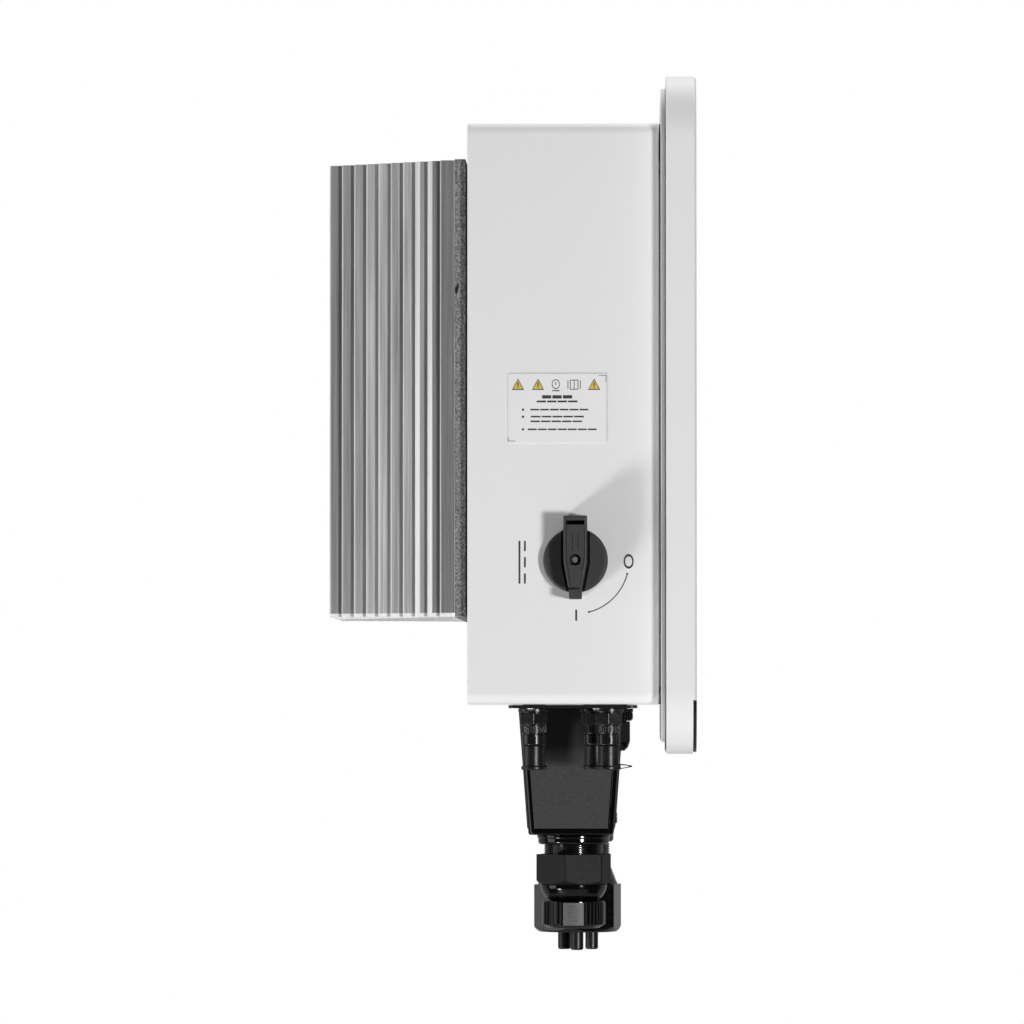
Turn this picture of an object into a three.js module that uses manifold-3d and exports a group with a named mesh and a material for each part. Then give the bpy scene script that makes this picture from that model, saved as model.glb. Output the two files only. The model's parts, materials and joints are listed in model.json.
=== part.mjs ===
// String inverter for a solar array, hung on a wall.
//
// Frame: millimetres, +Z up, the front cover faces -Y and the wall is at +Y. The origin is on the flat
// back of the hanger rail, where the inverter bears on its wall bracket. The pieces are drawn in a frame
// of the same directions whose zero height is the middle of the case, then lowered onto that origin.

import * as THREE from "three";
import { mergeVertices } from "three/addons/utils/BufferGeometryUtils.js";
import Module from "manifold-3d";

const wasm = await Module();
wasm.setup();

// ---------------------------------------------------------------- driving dimensions, millimetres

const GAP = 0.3; // clearance between two pieces that bear on each other
const ROUND_SIDES = 20;
const SMALL_SIDES = 12;

const SINK = {
  width: 290,
  height: 321.4,
  finHeight: 319.9,
  rise: 18.3,
  finDrop: 0.25,
  tipSpace: 0.5,
  finDepth: 89.5,
  finCount: 58,
  finThickness: 2,
  firstFin: 10,
  finStep: 8.83,
  web: 2.5,
  base: 7.7,
  gasket: 0.8,
  window: { width: 220, height: 256 },
};

const CASE = { width: 310, height: 407, depth: 133.8, wall: 3, corner: 8, column: 14 };
const CASE_GASKET = { thickness: 0.8, width: 2.4, inset: 0.4 };
const LID = { side: 10, end: 26, thickness: 3.4, corner: 38 };
const LID_SCREW = { radius: 2.5, head: 4.5, headHeight: 3, length: 18 };
const COVER = { overhang: 8.4, depth: 19.8, space: 1.7, corner: 45, edge: 2.4, side: 3, front: 5 };
const COVER_POST = { radius: 6, fromSide: 53, fromEnd: 68 };
const TRIM = { depth: 2.1, height: 37.9 };

const RAIL = { length: 180, height: 46, hook: 20, slot: 6, sheet: 3, fromTop: 29 };
const STRAP = { length: 120, height: 24, sheet: 3, fromBottom: 32.4 };

const DISPLAY = {
  fromTop: 148,
  window: { width: 92, height: 50, corner: 3, thickness: 2.5 },
  panel: { width: 84, height: 42, thickness: 6 },
  board: { width: 120, height: 110, thickness: 1.6, behind: 9.1 },
};
const BUTTON = {
  radius: 5, flange: 6.4, flangeDepth: 1.7, stem: 2, recess: 0.3, travel: 1.2, pitch: 24, drop: 45,
  count: 4,
};
const STATUS = { length: 50, height: 7, rise: 40, flange: 1.6, flangeDepth: 1.5 };

const BOARD = { side: 21, top: 18.5, bottom: 38.5, thickness: 1.6 };
const STANDOFF = { radius: 4.5, length: 25.3, fromSide: 10, fromEnd: 15 };
const CAPACITOR = { radius: 17.5, length: 50, pitch: 44, fromTop: 65, bevel: 2, count: 4 };
const BOOST = { width: 110, height: 70, depth: 55, x: -60, fromTop: 155 };
const CHOKE = { outer: 38, inner: 16, depth: 32, x: 75, fromTop: 160 };
const MODULE = { width: 90, height: 50, depth: 13, pitch: 90, notch: 4 };
const RELAY = { width: 30, height: 22, depth: 28, x: 40, pitch: 50, fromTop: 245 };
const TERMINAL = { x: 70, fromBottom: 23, pole: 14, poles: 5, height: 32, depth: 22, mouth: 8, step: 9 };

const SWITCH = {
  fromBack: 75.7,
  fromFloor: 100.6,
  washer: { radius: 17, height: 1.5 },
  disc: { radius: 22.6, top: 13.6, edge: 1.2, scoop: 6.5 },
  lever: { tail: 30.7, nose: 27.2, tailHalf: 8.2, noseHalf: 4.4, top: 28, draft: 1.2, cap: 2.4 },
  pointer: { from: 19.6, top: 23.5 },
  lock: { width: 12.6, height: 2.8, fromEnd: 3.2 },
  recess: { radius: 3.9, depth: 7 },
  screw: { radius: 1.6, head: 3.3, headHeight: 2.6, length: 12 },
  shaft: { radius: 4, grip: 9, reach: 14 },
  body: { side: 56, length: 76 },
};
const LABEL = { width: 68.6, height: 48.4, corner: 1.5, thickness: 0.4, fromBack: 62.8, fromFloor: 207 };

const PLATE = { fromSide: 5, width: 108, fromBack: 28.5, depth: 90.3, thickness: 2.2, corner: 5 };
const PV = {
  sockets: [
    { fromSide: 30, fromBack: 45.9, tab: "right" },
    { fromSide: 70, fromBack: 45.9, tab: "right" },
    { fromSide: 30, fromBack: 98.4, tab: "front" },
    { fromSide: 70, fromBack: 88.6, tab: "front" },
  ],
  nut: { radius: 10.8, height: 11.7, chamfer: 1 },
  collar: { radius: 8.3, height: 14 },
  spigot: { radius: 5.7, height: 14.5 },
  bore: { radius: 2.1, depth: 26 },
  thread: { radius: 7.8, inside: 13 },
};
const CAP = { wall: 1.6, floor: 2.4, flange: 1.1, flangeHeight: 2.6, pull: 25, tab: 9, tabHeight: 4.6 };
const COM = {
  fromSide: 95,
  fromBack: 105.5,
  flange: { radius: 10.2, height: 8.8 },
  thread: { radius: 6, inside: 12 },
  spigot: { radius: 5.4, height: 9 },
  nut: { radius: 9.2, height: 15, dome: 6, mouth: 4 },
};

const BOX = {
  x: 52,
  width: 180,
  fromBack: 71.1,
  depth: 74.5,
  height: 92,
  draft: 6.6,
  wall: 3,
  corner: 5,
  gasket: 0.8,
  throat: { width: 142, depth: 46 },
};
const DATA_GLAND = {
  x: 0,
  fromBack: 72.7,
  collar: { radius: 26.3, height: 6.8 },
  neck: { radius: 21.3, height: 7.2 },
  hex: { radius: 28.2, height: 22.5, chamfer: 2, turn: 13 },
  bowl: { top: 23.9, bottom: 17.4, height: 10.8 },
  spigot: { radius: 15, height: 12 },
  bore: 12.5,
  thread: { radius: 19.7, inside: 13 },
  nut: { radius: 23.2, height: 19.4, floor: 3.2, mouth: 10.5, chamfer: 2.4, turn: 22 },
  seal: { nub: 9.8 },
};
const AC_GLAND = {
  x: 90,
  fromBack: 74.7,
  collar: { radius: 26.3, height: 6.8 },
  neck: { radius: 23.3, height: 16 },
  cone: { radius: 29.2, height: 15 },
  spigot: { radius: 24, height: 17 },
  bore: 19,
  thread: { radius: 22, inside: 13 },
  nut: { radius: 34.2, height: 34.7, floor: 3.6, mouth: 17.5, chamfer: 3, turn: 9 },
  seal: { plug: 4.7, circle: 11.6, reach: 17.2, turn: 58, plugs: 3 },
};

// ---------------------------------------------------------------- planes and places worked out from them

// Half a width to each side of a middle.
function around(middle, width) {
  return [middle - width / 2, middle + width / 2];
}

const finTip = -SINK.tipSpace;
const finRoot = finTip - SINK.finDepth;
const baseRear = finRoot - GAP;
const baseFront = baseRear - SINK.base;
const caseBack = baseFront - SINK.gasket - 2 * GAP;
const caseFront = caseBack - CASE.depth;
const lidRear = caseFront - CASE_GASKET.thickness - 2 * GAP;
const lidFront = lidRear - LID.thickness;
const coverRear = lidFront - COVER.space;
const coverFront = coverRear - COVER.depth;
const coverInside = coverFront + COVER.front;

const caseSide = -CASE.width / 2;
const caseTop = CASE.height / 2;
const caseFloor = -CASE.height / 2;
const lidSize = { width: CASE.width + 2 * LID.side, height: CASE.height + 2 * LID.end };
const coverSize = {
  width: lidSize.width + 2 * COVER.overhang,
  height: lidSize.height + 2 * COVER.overhang,
};
const columnAt = {
  x: CASE.width / 2 - CASE.wall - CASE.column / 2,
  z: caseTop - CASE.wall - CASE.column / 2,
};

const sinkZ = around(SINK.rise, SINK.height);
const finZ = around(SINK.rise - SINK.finDrop, SINK.finHeight);
const railTop = sinkZ[1] - RAIL.fromTop;
const railBottom = railTop - RAIL.height;
const railDepth = 2 * RAIL.sheet + RAIL.slot;
const strapZ = around(sinkZ[0] + STRAP.fromBottom, STRAP.height);

const boardRear = caseBack - CASE.wall - STANDOFF.length - GAP;
const boardFront = boardRear - BOARD.thickness;
const boardZ = [caseFloor + BOARD.bottom, caseTop - BOARD.top];
const standoffAt = {
  x: CASE.width / 2 - BOARD.side - STANDOFF.fromSide,
  z: [boardZ[0] + STANDOFF.fromEnd, boardZ[1] - STANDOFF.fromEnd],
};

const coverPostAt = {
  x: coverSize.width / 2 - COVER_POST.fromSide,
  z: coverSize.height / 2 - COVER_POST.fromEnd,
};
const displayZ = coverSize.height / 2 - DISPLAY.fromTop;
const displayBoardFront = coverInside + DISPLAY.board.behind - DISPLAY.board.thickness;
const buttonZ = displayZ - BUTTON.drop;
const trimTop = TRIM.height - coverSize.height / 2;

const switchAt = { y: caseBack - SWITCH.fromBack, z: caseFloor + SWITCH.fromFloor };
const plateTop = caseFloor - GAP;
const plateBottom = plateTop - PLATE.thickness;
const pvAt = PV.sockets.map((socket) => ({
  x: caseSide + socket.fromSide,
  y: caseBack - socket.fromBack,
  tab: socket.tab,
}));
const comAt = { x: caseSide + COM.fromSide, y: caseBack - COM.fromBack };

const boxGasketTop = caseFloor - GAP;
const boxTop = boxGasketTop - BOX.gasket - GAP;
const boxBottom = boxTop - BOX.height;
const boxY = caseBack - BOX.fromBack;
const glandFace = boxBottom - GAP;

// ---------------------------------------------------------------- finishes

const FINISH = {
  whitePaint: { color: 0xdfe0e2, roughness: 0.55, metalness: 0 },
  coverPaint: { color: 0xe2e3e4, roughness: 0.5, metalness: 0 },
  darkTrim: { color: 0x1d1e20, roughness: 0.35, metalness: 0 },
  finAluminium: { color: 0x9c9ea0, roughness: 0.4, metalness: 0.9 },
  castAluminium: { color: 0x66686a, roughness: 0.75, metalness: 0.7 },
  steel: { color: 0xb4b6b8, roughness: 0.35, metalness: 1 },
  rubber: { color: 0x161617, roughness: 0.85, metalness: 0 },
  blackPlastic: { color: 0x18181a, roughness: 0.5, metalness: 0 },
  glossPlastic: { color: 0x0e0e10, roughness: 0.2, metalness: 0 },
  knobPlastic: { color: 0x39393c, roughness: 0.5, metalness: 0 },
  glass: { color: 0x20262a, roughness: 0.08, metalness: 0 },
  lcd: { color: 0x5c7a52, roughness: 0.4, metalness: 0 },
  board: { color: 0x1d5a36, roughness: 0.5, metalness: 0 },
  copper: { color: 0xa8642c, roughness: 0.4, metalness: 0.9 },
  sleeve: { color: 0x20304a, roughness: 0.4, metalness: 0 },
  relay: { color: 0x2a2c30, roughness: 0.4, metalness: 0 },
  terminal: { color: 0x3f6a48, roughness: 0.5, metalness: 0 },
  lens: { color: 0xcfe3d2, roughness: 0.2, metalness: 0 },
  sticker: { color: 0xe6e6e4, roughness: 0.45, metalness: 0 },
};

// ---------------------------------------------------------------- shape helpers

const LEFT = new THREE.Vector3(-1, 0, 0);
const FRONT = new THREE.Vector3(0, -1, 0);
const REAR = new THREE.Vector3(0, 1, 0);
const DOWN = new THREE.Vector3(0, 0, -1);
const UP = new THREE.Vector3(0, 0, 1);

// A closed three.js geometry as a solid that can be joined and cut.
function solid(geometry) {
  const bare = geometry.clone();
  bare.deleteAttribute("normal");
  bare.deleteAttribute("uv");
  const merged = mergeVertices(bare, 1e-4);
  const corners = merged.index.array;
  const triangles = [];
  for (let i = 0; i < corners.length; i += 3) {
    const [a, b, c] = corners.slice(i, i + 3);
    if (a !== b && b !== c && c !== a) triangles.push(a, b, c);
  }
  return new wasm.Manifold(new wasm.Mesh({
    numProp: 3,
    vertProperties: Float32Array.from(merged.attributes.position.array),
    triVerts: Uint32Array.from(triangles),
  }));
}

function join(first, ...others) {
  return others.reduce((whole, piece) => whole.add(piece), first);
}

function cut(first, ...tools) {
  return tools.reduce((whole, tool) => whole.subtract(tool), first);
}

function toGeometry(shape) {
  const mesh = shape.getMesh();
  const geometry = new THREE.BufferGeometry();
  geometry.setAttribute("position", new THREE.BufferAttribute(Float32Array.from(mesh.vertProperties), 3));
  geometry.setIndex(new THREE.BufferAttribute(Uint32Array.from(mesh.triVerts), 1));
  geometry.computeVertexNormals();
  return geometry;
}

// A block between two values on each axis, given in either order.
function block([x0, x1], [y0, y1], [z0, z1]) {
  const geometry = new THREE.BoxGeometry(Math.abs(x1 - x0), Math.abs(y1 - y0), Math.abs(z1 - z0));
  return solid(geometry.translate((x0 + x1) / 2, (y0 + y1) / 2, (z0 + z1) / 2));
}

function roundedRect(width, height, radius, x = 0, y = 0) {
  const shape = new THREE.Shape();
  const r = Math.min(radius, width / 2 - 0.01, height / 2 - 0.01);
  const [left, right] = around(x, width);
  const [low, high] = around(y, height);
  shape.absarc(right - r, low + r, r, -Math.PI / 2, 0);
  shape.absarc(right - r, high - r, r, 0, Math.PI / 2);
  shape.absarc(left + r, high - r, r, Math.PI / 2, Math.PI);
  shape.absarc(left + r, low + r, r, Math.PI, 1.5 * Math.PI);
  shape.closePath();
  return shape;
}

function polygon(points) {
  return new THREE.Shape(points.map(([x, y]) => new THREE.Vector2(x, y)));
}

// A regular hexagon by the radius of its corners, the first of them turned from +X by some degrees.
function hexagon(radius, x, y, turn = 0) {
  const corners = [];
  for (let i = 0; i < 6; i += 1) {
    const angle = THREE.MathUtils.degToRad(turn + i * 60);
    corners.push([x + radius * Math.cos(angle), y + radius * Math.sin(angle)]);
  }
  return polygon(corners);
}

function extruded(shape, depth, curveSegments) {
  return new THREE.ExtrudeGeometry(shape, { depth, curveSegments, bevelEnabled: false });
}

// An outline drawn in X and Y, standing between two heights.
function alongZ(shape, low, high, curveSegments = 3) {
  return solid(extruded(shape, high - low, curveSegments).translate(0, 0, low));
}

// An outline drawn in X and Z, running forwards from a rear plane to a front plane.
function alongY(shape, rear, front, curveSegments = 3) {
  return solid(extruded(shape, rear - front, curveSegments).rotateX(Math.PI / 2).translate(0, rear, 0));
}

// An outline drawn in Y and Z, running from a left plane to a right plane.
function alongX(shape, left, right, curveSegments = 3) {
  const turn = new THREE.Matrix4().makeBasis(REAR, UP, new THREE.Vector3(1, 0, 0));
  return solid(extruded(shape, right - left, curveSegments).applyMatrix4(turn).translate(left, 0, 0));
}

// A turned shape. Its profile is a list of [radius, height], heights measured from a face towards facing,
// and it starts and ends on the axis or closes on itself, with the outside going up.
function turned(profile, facing, [x, y, z], sides = SMALL_SIDES) {
  const points = profile.map(([radius, height]) => new THREE.Vector2(radius, height));
  const geometry = new THREE.LatheGeometry(points, sides);
  geometry.applyQuaternion(new THREE.Quaternion().setFromUnitVectors(REAR, facing));
  return solid(geometry.translate(x, y, z));
}

function rod(radius, from, to, facing, at, sides = SMALL_SIDES) {
  return turned([[0, from], [radius, from], [radius, to], [0, to]], facing, at, sides);
}

// A hexagon nut blank standing down from a face, its lower corners taken off by a cone.
function hexBlank({ radius, chamfer, turn }, from, to, [x, y, z]) {
  const prism = alongZ(hexagon(radius, x, y, turn), z - to, z - from);
  const cone = turned(
    [[0, from], [radius, from], [radius, to - chamfer], [radius - 1.7 * chamfer, to], [0, to]],
    DOWN,
    [x, y, z],
    ROUND_SIDES,
  );
  return prism.intersect(cone);
}

// ---------------------------------------------------------------- the assembly and how a piece joins it

const inverter = new THREE.Group();
inverter.name = "string_inverter";
const drawn = new THREE.Group();
drawn.position.z = -(railTop - RAIL.hook / 2);
inverter.add(drawn);

function add(name, shape, finish) {
  const mesh = new THREE.Mesh(toGeometry(shape), new THREE.MeshStandardMaterial(finish));
  mesh.name = name;
  drawn.add(mesh);
}

// ---------------------------------------------------------------- heat sink and wall fittings

// The comb in plan: the outermost fin is the shortest and each next one is a step longer.
function finOutline() {
  const pitch = (SINK.width - SINK.finThickness) / (SINK.finCount - 1);
  const left = -SINK.width / 2;
  const webFace = finRoot + SINK.web;
  const points = [[left, finRoot]];
  for (let i = 0; i < SINK.finCount; i += 1) {
    const fromEdge = Math.min(i, SINK.finCount - 1 - i);
    const tip = Math.min(finRoot + SINK.firstFin + fromEdge * SINK.finStep, finTip);
    const x = left + i * pitch;
    points.push([x, i === 0 ? tip : webFace]);
    if (i > 0) points.push([x, tip]);
    points.push([x + SINK.finThickness, tip]);
    if (i < SINK.finCount - 1) points.push([x + SINK.finThickness, webFace]);
  }
  points.push([-left, finRoot]);
  return polygon(points);
}

function heatSinkFins() {
  const railRoom = block(
    around(0, RAIL.length + 2 * GAP),
    [-railDepth - GAP, SINK.tipSpace],
    [railBottom - GAP, railTop + GAP],
  );
  const strapRoom = block(
    around(0, STRAP.length + 2 * GAP),
    [-STRAP.sheet - GAP, SINK.tipSpace],
    [strapZ[0] - GAP, strapZ[1] + GAP],
  );
  return cut(alongZ(finOutline(), ...finZ), railRoom, strapRoom);
}

function sinkWindow(grow) {
  return roundedRect(SINK.window.width + grow, SINK.window.height + grow, CASE.corner, 0, SINK.rise);
}

// The rail is one folded strip: a plate against the fins, a web over the top and a hook hanging behind.
function hangerRail() {
  const plateFront = -railDepth;
  const plateRear = plateFront + RAIL.sheet;
  return alongX(polygon([
    [plateFront, railBottom],
    [plateRear, railBottom],
    [plateRear, railTop - RAIL.sheet],
    [-RAIL.sheet, railTop - RAIL.sheet],
    [-RAIL.sheet, railTop - RAIL.hook],
    [0, railTop - RAIL.hook],
    [0, railTop],
    [plateFront, railTop],
  ]), ...around(0, RAIL.length));
}

function sinkGasket() {
  const ring = sinkWindow(16);
  ring.holes.push(sinkWindow(2));
  return alongY(ring, baseFront - GAP, baseFront - GAP - SINK.gasket);
}

add("heat_sink_fins", heatSinkFins(), FINISH.finAluminium);
add("heat_sink_base", block(around(0, SINK.width), [baseFront, baseRear], sinkZ), FINISH.castAluminium);
add("heat_sink_gasket", sinkGasket(), FINISH.rubber);
add("hanger_rail", hangerRail(), FINISH.steel);
add(
  "lower_strap",
  block(around(0, STRAP.length), [-STRAP.sheet, 0], strapZ),
  FINISH.steel,
);

// ---------------------------------------------------------------- case, gasket, lid and its screws

const columns = [[-1, -1], [1, -1], [-1, 1], [1, 1]].map(([x, z]) => ({
  x: x * columnAt.x,
  z: z * columnAt.z,
}));

function caseOutline(inset) {
  return roundedRect(CASE.width - 2 * inset, CASE.height - 2 * inset, CASE.corner - inset);
}

function throughFloor(radius, at) {
  return rod(radius + GAP, -GAP, CASE.wall + GAP, UP, [at.x, at.y, caseFloor]);
}

function caseShell() {
  const inside = alongY(caseOutline(CASE.wall), caseBack - CASE.wall, caseFront - GAP);
  const wall = cut(alongY(caseOutline(0), caseBack, caseFront), inside);
  const posts = columns.map(({ x, z }) => block(
    around(x, CASE.column + GAP),
    [caseBack - CASE.wall + GAP, caseFront],
    around(z, CASE.column + GAP),
  ));
  const standoffs = [-1, 1].flatMap((side) => standoffAt.z.map((z) => rod(
    STANDOFF.radius,
    CASE.wall - GAP,
    CASE.wall + STANDOFF.length,
    FRONT,
    [side * standoffAt.x, caseBack, z],
  )));
  const screwHoles = columns.map(({ x, z }) => rod(
    LID_SCREW.radius + GAP,
    -GAP,
    LID_SCREW.length,
    REAR,
    [x, caseFront, z],
    12,
  ));
  const throat = block(
    around(BOX.x, BOX.throat.width),
    around(boxY, BOX.throat.depth),
    [caseFloor - GAP, caseFloor + CASE.wall + GAP],
  );
  return cut(
    join(wall, ...posts, ...standoffs),
    ...screwHoles,
    throat,
    alongY(sinkWindow(0), caseBack + GAP, caseBack - CASE.wall - GAP),
    rod(SWITCH.shaft.radius + GAP, -CASE.wall - GAP, GAP, LEFT, [caseSide, switchAt.y, switchAt.z]),
    ...pvAt.map((at) => throughFloor(PV.thread.radius, at)),
    throughFloor(COM.thread.radius, comAt),
  );
}

function caseGasket() {
  const ring = caseOutline(CASE_GASKET.inset);
  ring.holes.push(caseOutline(CASE_GASKET.inset + CASE_GASKET.width));
  return alongY(ring, caseFront - GAP, caseFront - GAP - CASE_GASKET.thickness);
}

function frontLid() {
  const plate = alongY(roundedRect(lidSize.width, lidSize.height, LID.corner), lidRear, lidFront);
  const holes = columns.map(({ x, z }) => rod(
    LID_SCREW.radius + GAP,
    -GAP,
    LID.thickness + GAP,
    REAR,
    [x, lidFront, z],
    12,
  ));
  return cut(plate, ...holes);
}

function lidScrew({ x, z }) {
  const { radius, head, headHeight, length } = LID_SCREW;
  const tip = GAP - length + 1;
  const profile = [
    [0, tip],
    [radius, tip],
    [radius, GAP],
    [head, GAP],
    [head, GAP + headHeight * 0.7],
    [head * 0.6, GAP + headHeight],
    [0, GAP + headHeight],
  ];
  return turned(profile, FRONT, [x, lidFront, z], 12);
}

add("case_shell", caseShell(), FINISH.whitePaint);
add("case_gasket", caseGasket(), FINISH.rubber);
add("front_lid", frontLid(), FINISH.whitePaint);
columns.forEach((at, i) => add(`lid_screw_${i + 1}`, lidScrew(at), FINISH.steel));

// ---------------------------------------------------------------- front cover and what it carries

const buttonX = Array.from(
  { length: BUTTON.count },
  (_, i) => (i - (BUTTON.count - 1) / 2) * BUTTON.pitch,
);

function coverOutline(inset) {
  return roundedRect(coverSize.width - 2 * inset, coverSize.height - 2 * inset, COVER.corner - inset);
}

// The outside of the cover: a plate with its front edge rounded over in two short steps.
function coverBlank() {
  const shallow = COVER.edge * 0.3;
  return join(
    alongY(coverOutline(0), coverRear, coverFront + COVER.edge),
    alongY(coverOutline(shallow), coverFront + COVER.edge + GAP, coverFront + shallow),
    alongY(coverOutline(COVER.edge), coverFront + COVER.edge + GAP, coverFront),
  );
}

function belowTrimLine(rear) {
  const half = coverSize.width;
  return block([-half, half], [rear, coverFront - GAP], [trimTop, -coverSize.height]);
}

function statusOutline(grow) {
  const height = STATUS.height + 2 * grow;
  return roundedRect(STATUS.length + 2 * grow, height, height / 2, 0, displayZ + STATUS.rise);
}

function windowOutline(grow) {
  const { width, height, corner } = DISPLAY.window;
  return roundedRect(width + 2 * grow, height + 2 * grow, corner + grow, 0, displayZ);
}

function frontCover() {
  const inside = alongY(coverOutline(COVER.side), coverRear + GAP, coverInside);
  const posts = [[-1, -1], [1, -1], [-1, 1], [1, 1]].map(([x, z]) => rod(
    COVER_POST.radius,
    COVER.front - GAP,
    COVER.depth + COVER.space - GAP,
    REAR,
    [x * coverPostAt.x, coverFront, z * coverPostAt.z],
  ));
  const holes = buttonX.map((x) => rod(
    BUTTON.radius + GAP,
    -GAP,
    COVER.front + GAP,
    REAR,
    [x, coverFront, buttonZ],
  ));
  return cut(
    join(cut(coverBlank(), inside), ...posts),
    ...holes,
    belowTrimLine(coverFront + TRIM.depth + GAP),
    alongY(windowOutline(GAP), coverInside + GAP, coverFront - GAP),
    alongY(statusOutline(GAP), coverInside + GAP, coverFront - GAP),
  );
}

function lowerTrim() {
  const slab = alongY(coverOutline(COVER.edge / 2), coverFront + TRIM.depth, coverFront);
  const above = block(
    [-coverSize.width, coverSize.width],
    [coverRear, coverFront - GAP],
    [trimTop - GAP, coverSize.height],
  );
  return cut(slab, above);
}

function buttonSolid(x) {
  const { radius, flange, flangeDepth, stem, recess, travel } = BUTTON;
  const face = -recess;
  const flangeFront = -COVER.front - GAP;
  const flangeRear = flangeFront - flangeDepth;
  const stemEnd = coverFront - displayBoardFront + GAP + travel;
  const profile = [
    [0, stemEnd],
    [stem, stemEnd],
    [stem, flangeRear],
    [flange, flangeRear],
    [flange, flangeFront],
    [radius, flangeFront],
    [radius, face - 0.6],
    [radius - 0.8, face],
    [0, face],
  ];
  return turned(profile, FRONT, [x, coverFront, buttonZ]);
}

function statusLens() {
  const flange = alongY(
    statusOutline(STATUS.flange),
    coverInside + GAP + STATUS.flangeDepth,
    coverInside + GAP,
  );
  return join(flange, alongY(statusOutline(0), coverInside + GAP + 0.1, coverFront));
}

add("front_cover", frontCover(), FINISH.coverPaint);
add("lower_trim", lowerTrim(), FINISH.darkTrim);
add(
  "display_window",
  alongY(windowOutline(0), coverFront + DISPLAY.window.thickness, coverFront),
  FINISH.glass,
);
add(
  "display_board",
  block(
    around(0, DISPLAY.board.width),
    [displayBoardFront, displayBoardFront + DISPLAY.board.thickness],
    around(displayZ, DISPLAY.board.height),
  ),
  FINISH.board,
);
add(
  "lcd_panel",
  block(
    around(0, DISPLAY.panel.width),
    [displayBoardFront - GAP, displayBoardFront - GAP - DISPLAY.panel.thickness],
    around(displayZ, DISPLAY.panel.height),
  ),
  FINISH.lcd,
);
buttonX.forEach((x, i) => add(`button_${i + 1}`, buttonSolid(x), FINISH.blackPlastic));
add("status_lens", statusLens(), FINISH.lens);

// ---------------------------------------------------------------- power electronics inside the case

function canCapacitor(x) {
  const { radius, length, bevel } = CAPACITOR;
  const profile = [
    [0, GAP],
    [radius, GAP],
    [radius, length - bevel],
    [radius - bevel, length],
    [0, length],
  ];
  return turned(profile, FRONT, [x, boardFront, boardZ[1] - CAPACITOR.fromTop]);
}

function onBoard(x, z, width, height, depth) {
  return block(around(x, width), [boardFront - GAP, boardFront - GAP - depth], around(z, height));
}

// A potted choke box with a cooling groove across its face.
function boostInductor() {
  const { x, width, height, depth, fromTop } = BOOST;
  const z = boardZ[1] - fromTop;
  const face = boardFront - GAP - depth;
  const groove = block(around(x, width + GAP), [face - GAP, face + 4], around(z, 10));
  return cut(onBoard(x, z, width, height, depth), groove);
}

function filterChoke() {
  const { outer, inner, depth, x, fromTop } = CHOKE;
  const round = 4;
  const profile = [
    [inner, GAP + round],
    [inner + round, GAP],
    [outer - round, GAP],
    [outer, GAP + round],
    [outer, depth - round],
    [outer - round, depth],
    [inner + round, depth],
    [inner, depth - round],
    [inner, GAP + round],
  ];
  return turned(profile, FRONT, [x, boardFront, boardZ[1] - fromTop], ROUND_SIDES);
}

// A power module lies on the heat sink's base, with a fixing notch at each end.
function powerModule(z) {
  const rear = baseFront - GAP;
  const front = rear - MODULE.depth;
  const notches = [-1, 1].map((side) => rod(
    MODULE.notch,
    -GAP,
    MODULE.depth + GAP,
    FRONT,
    [(side * MODULE.width) / 2, rear, z],
    12,
  ));
  return cut(block(around(0, MODULE.width), [rear, front], around(z, MODULE.height)), ...notches);
}

// A screw terminal row: a stepped moulding with a wire mouth under each pole.
function acTerminal() {
  const { x, fromBottom, pole, poles, height, depth, mouth, step } = TERMINAL;
  const z = boardZ[0] + fromBottom;
  const rear = boardFront - GAP;
  const low = z - height / 2;
  const high = z + height / 2;
  const outline = polygon([
    [rear, low],
    [rear, high],
    [rear - depth + step, high],
    [rear - depth + step, z + step / 2],
    [rear - depth, z + step / 2],
    [rear - depth, low],
  ]);
  const row = alongX(outline, ...around(x, pole * poles));
  const mouths = Array.from({ length: poles }, (_, i) => block(
    around(x + (i - (poles - 1) / 2) * pole, mouth),
    around(rear - depth / 2, mouth),
    [low - GAP, low + height / 2],
  ));
  return cut(row, ...mouths);
}

function mainBoard() {
  const [low, high] = boardZ;
  const outline = roundedRect(CASE.width - 2 * BOARD.side, high - low, 4, 0, (low + high) / 2);
  return alongY(outline, boardRear, boardFront, 2);
}

add("main_board", mainBoard(), FINISH.board);
for (let i = 0; i < CAPACITOR.count; i += 1) {
  const x = (i - (CAPACITOR.count - 1) / 2) * CAPACITOR.pitch;
  add(`link_capacitor_${i + 1}`, canCapacitor(x), FINISH.sleeve);
}
add("boost_inductor", boostInductor(), FINISH.castAluminium);
add("filter_inductor", filterChoke(), FINISH.copper);
add("power_module_1", powerModule(SINK.rise + MODULE.pitch / 2), FINISH.relay);
add("power_module_2", powerModule(SINK.rise - MODULE.pitch / 2), FINISH.relay);
[0, 1].forEach((i) => add(
  `grid_relay_${i + 1}`,
  onBoard(
    RELAY.x + i * RELAY.pitch,
    boardZ[1] - RELAY.fromTop,
    RELAY.width,
    RELAY.height,
    RELAY.depth,
  ),
  FINISH.relay,
));
add("ac_terminal", acTerminal(), FINISH.terminal);

// ---------------------------------------------------------------- DC switch on the left side

const switchFace = [caseSide - GAP, switchAt.y, switchAt.z];
const knobFoot = SWITCH.washer.height + GAP;

function switchWasher() {
  const { radius, height } = SWITCH.washer;
  const bore = SWITCH.shaft.radius + GAP;
  const profile = [[bore, 0], [radius, 0], [radius, height], [bore, height], [bore, 0]];
  return turned(profile, LEFT, switchFace, ROUND_SIDES);
}

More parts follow.
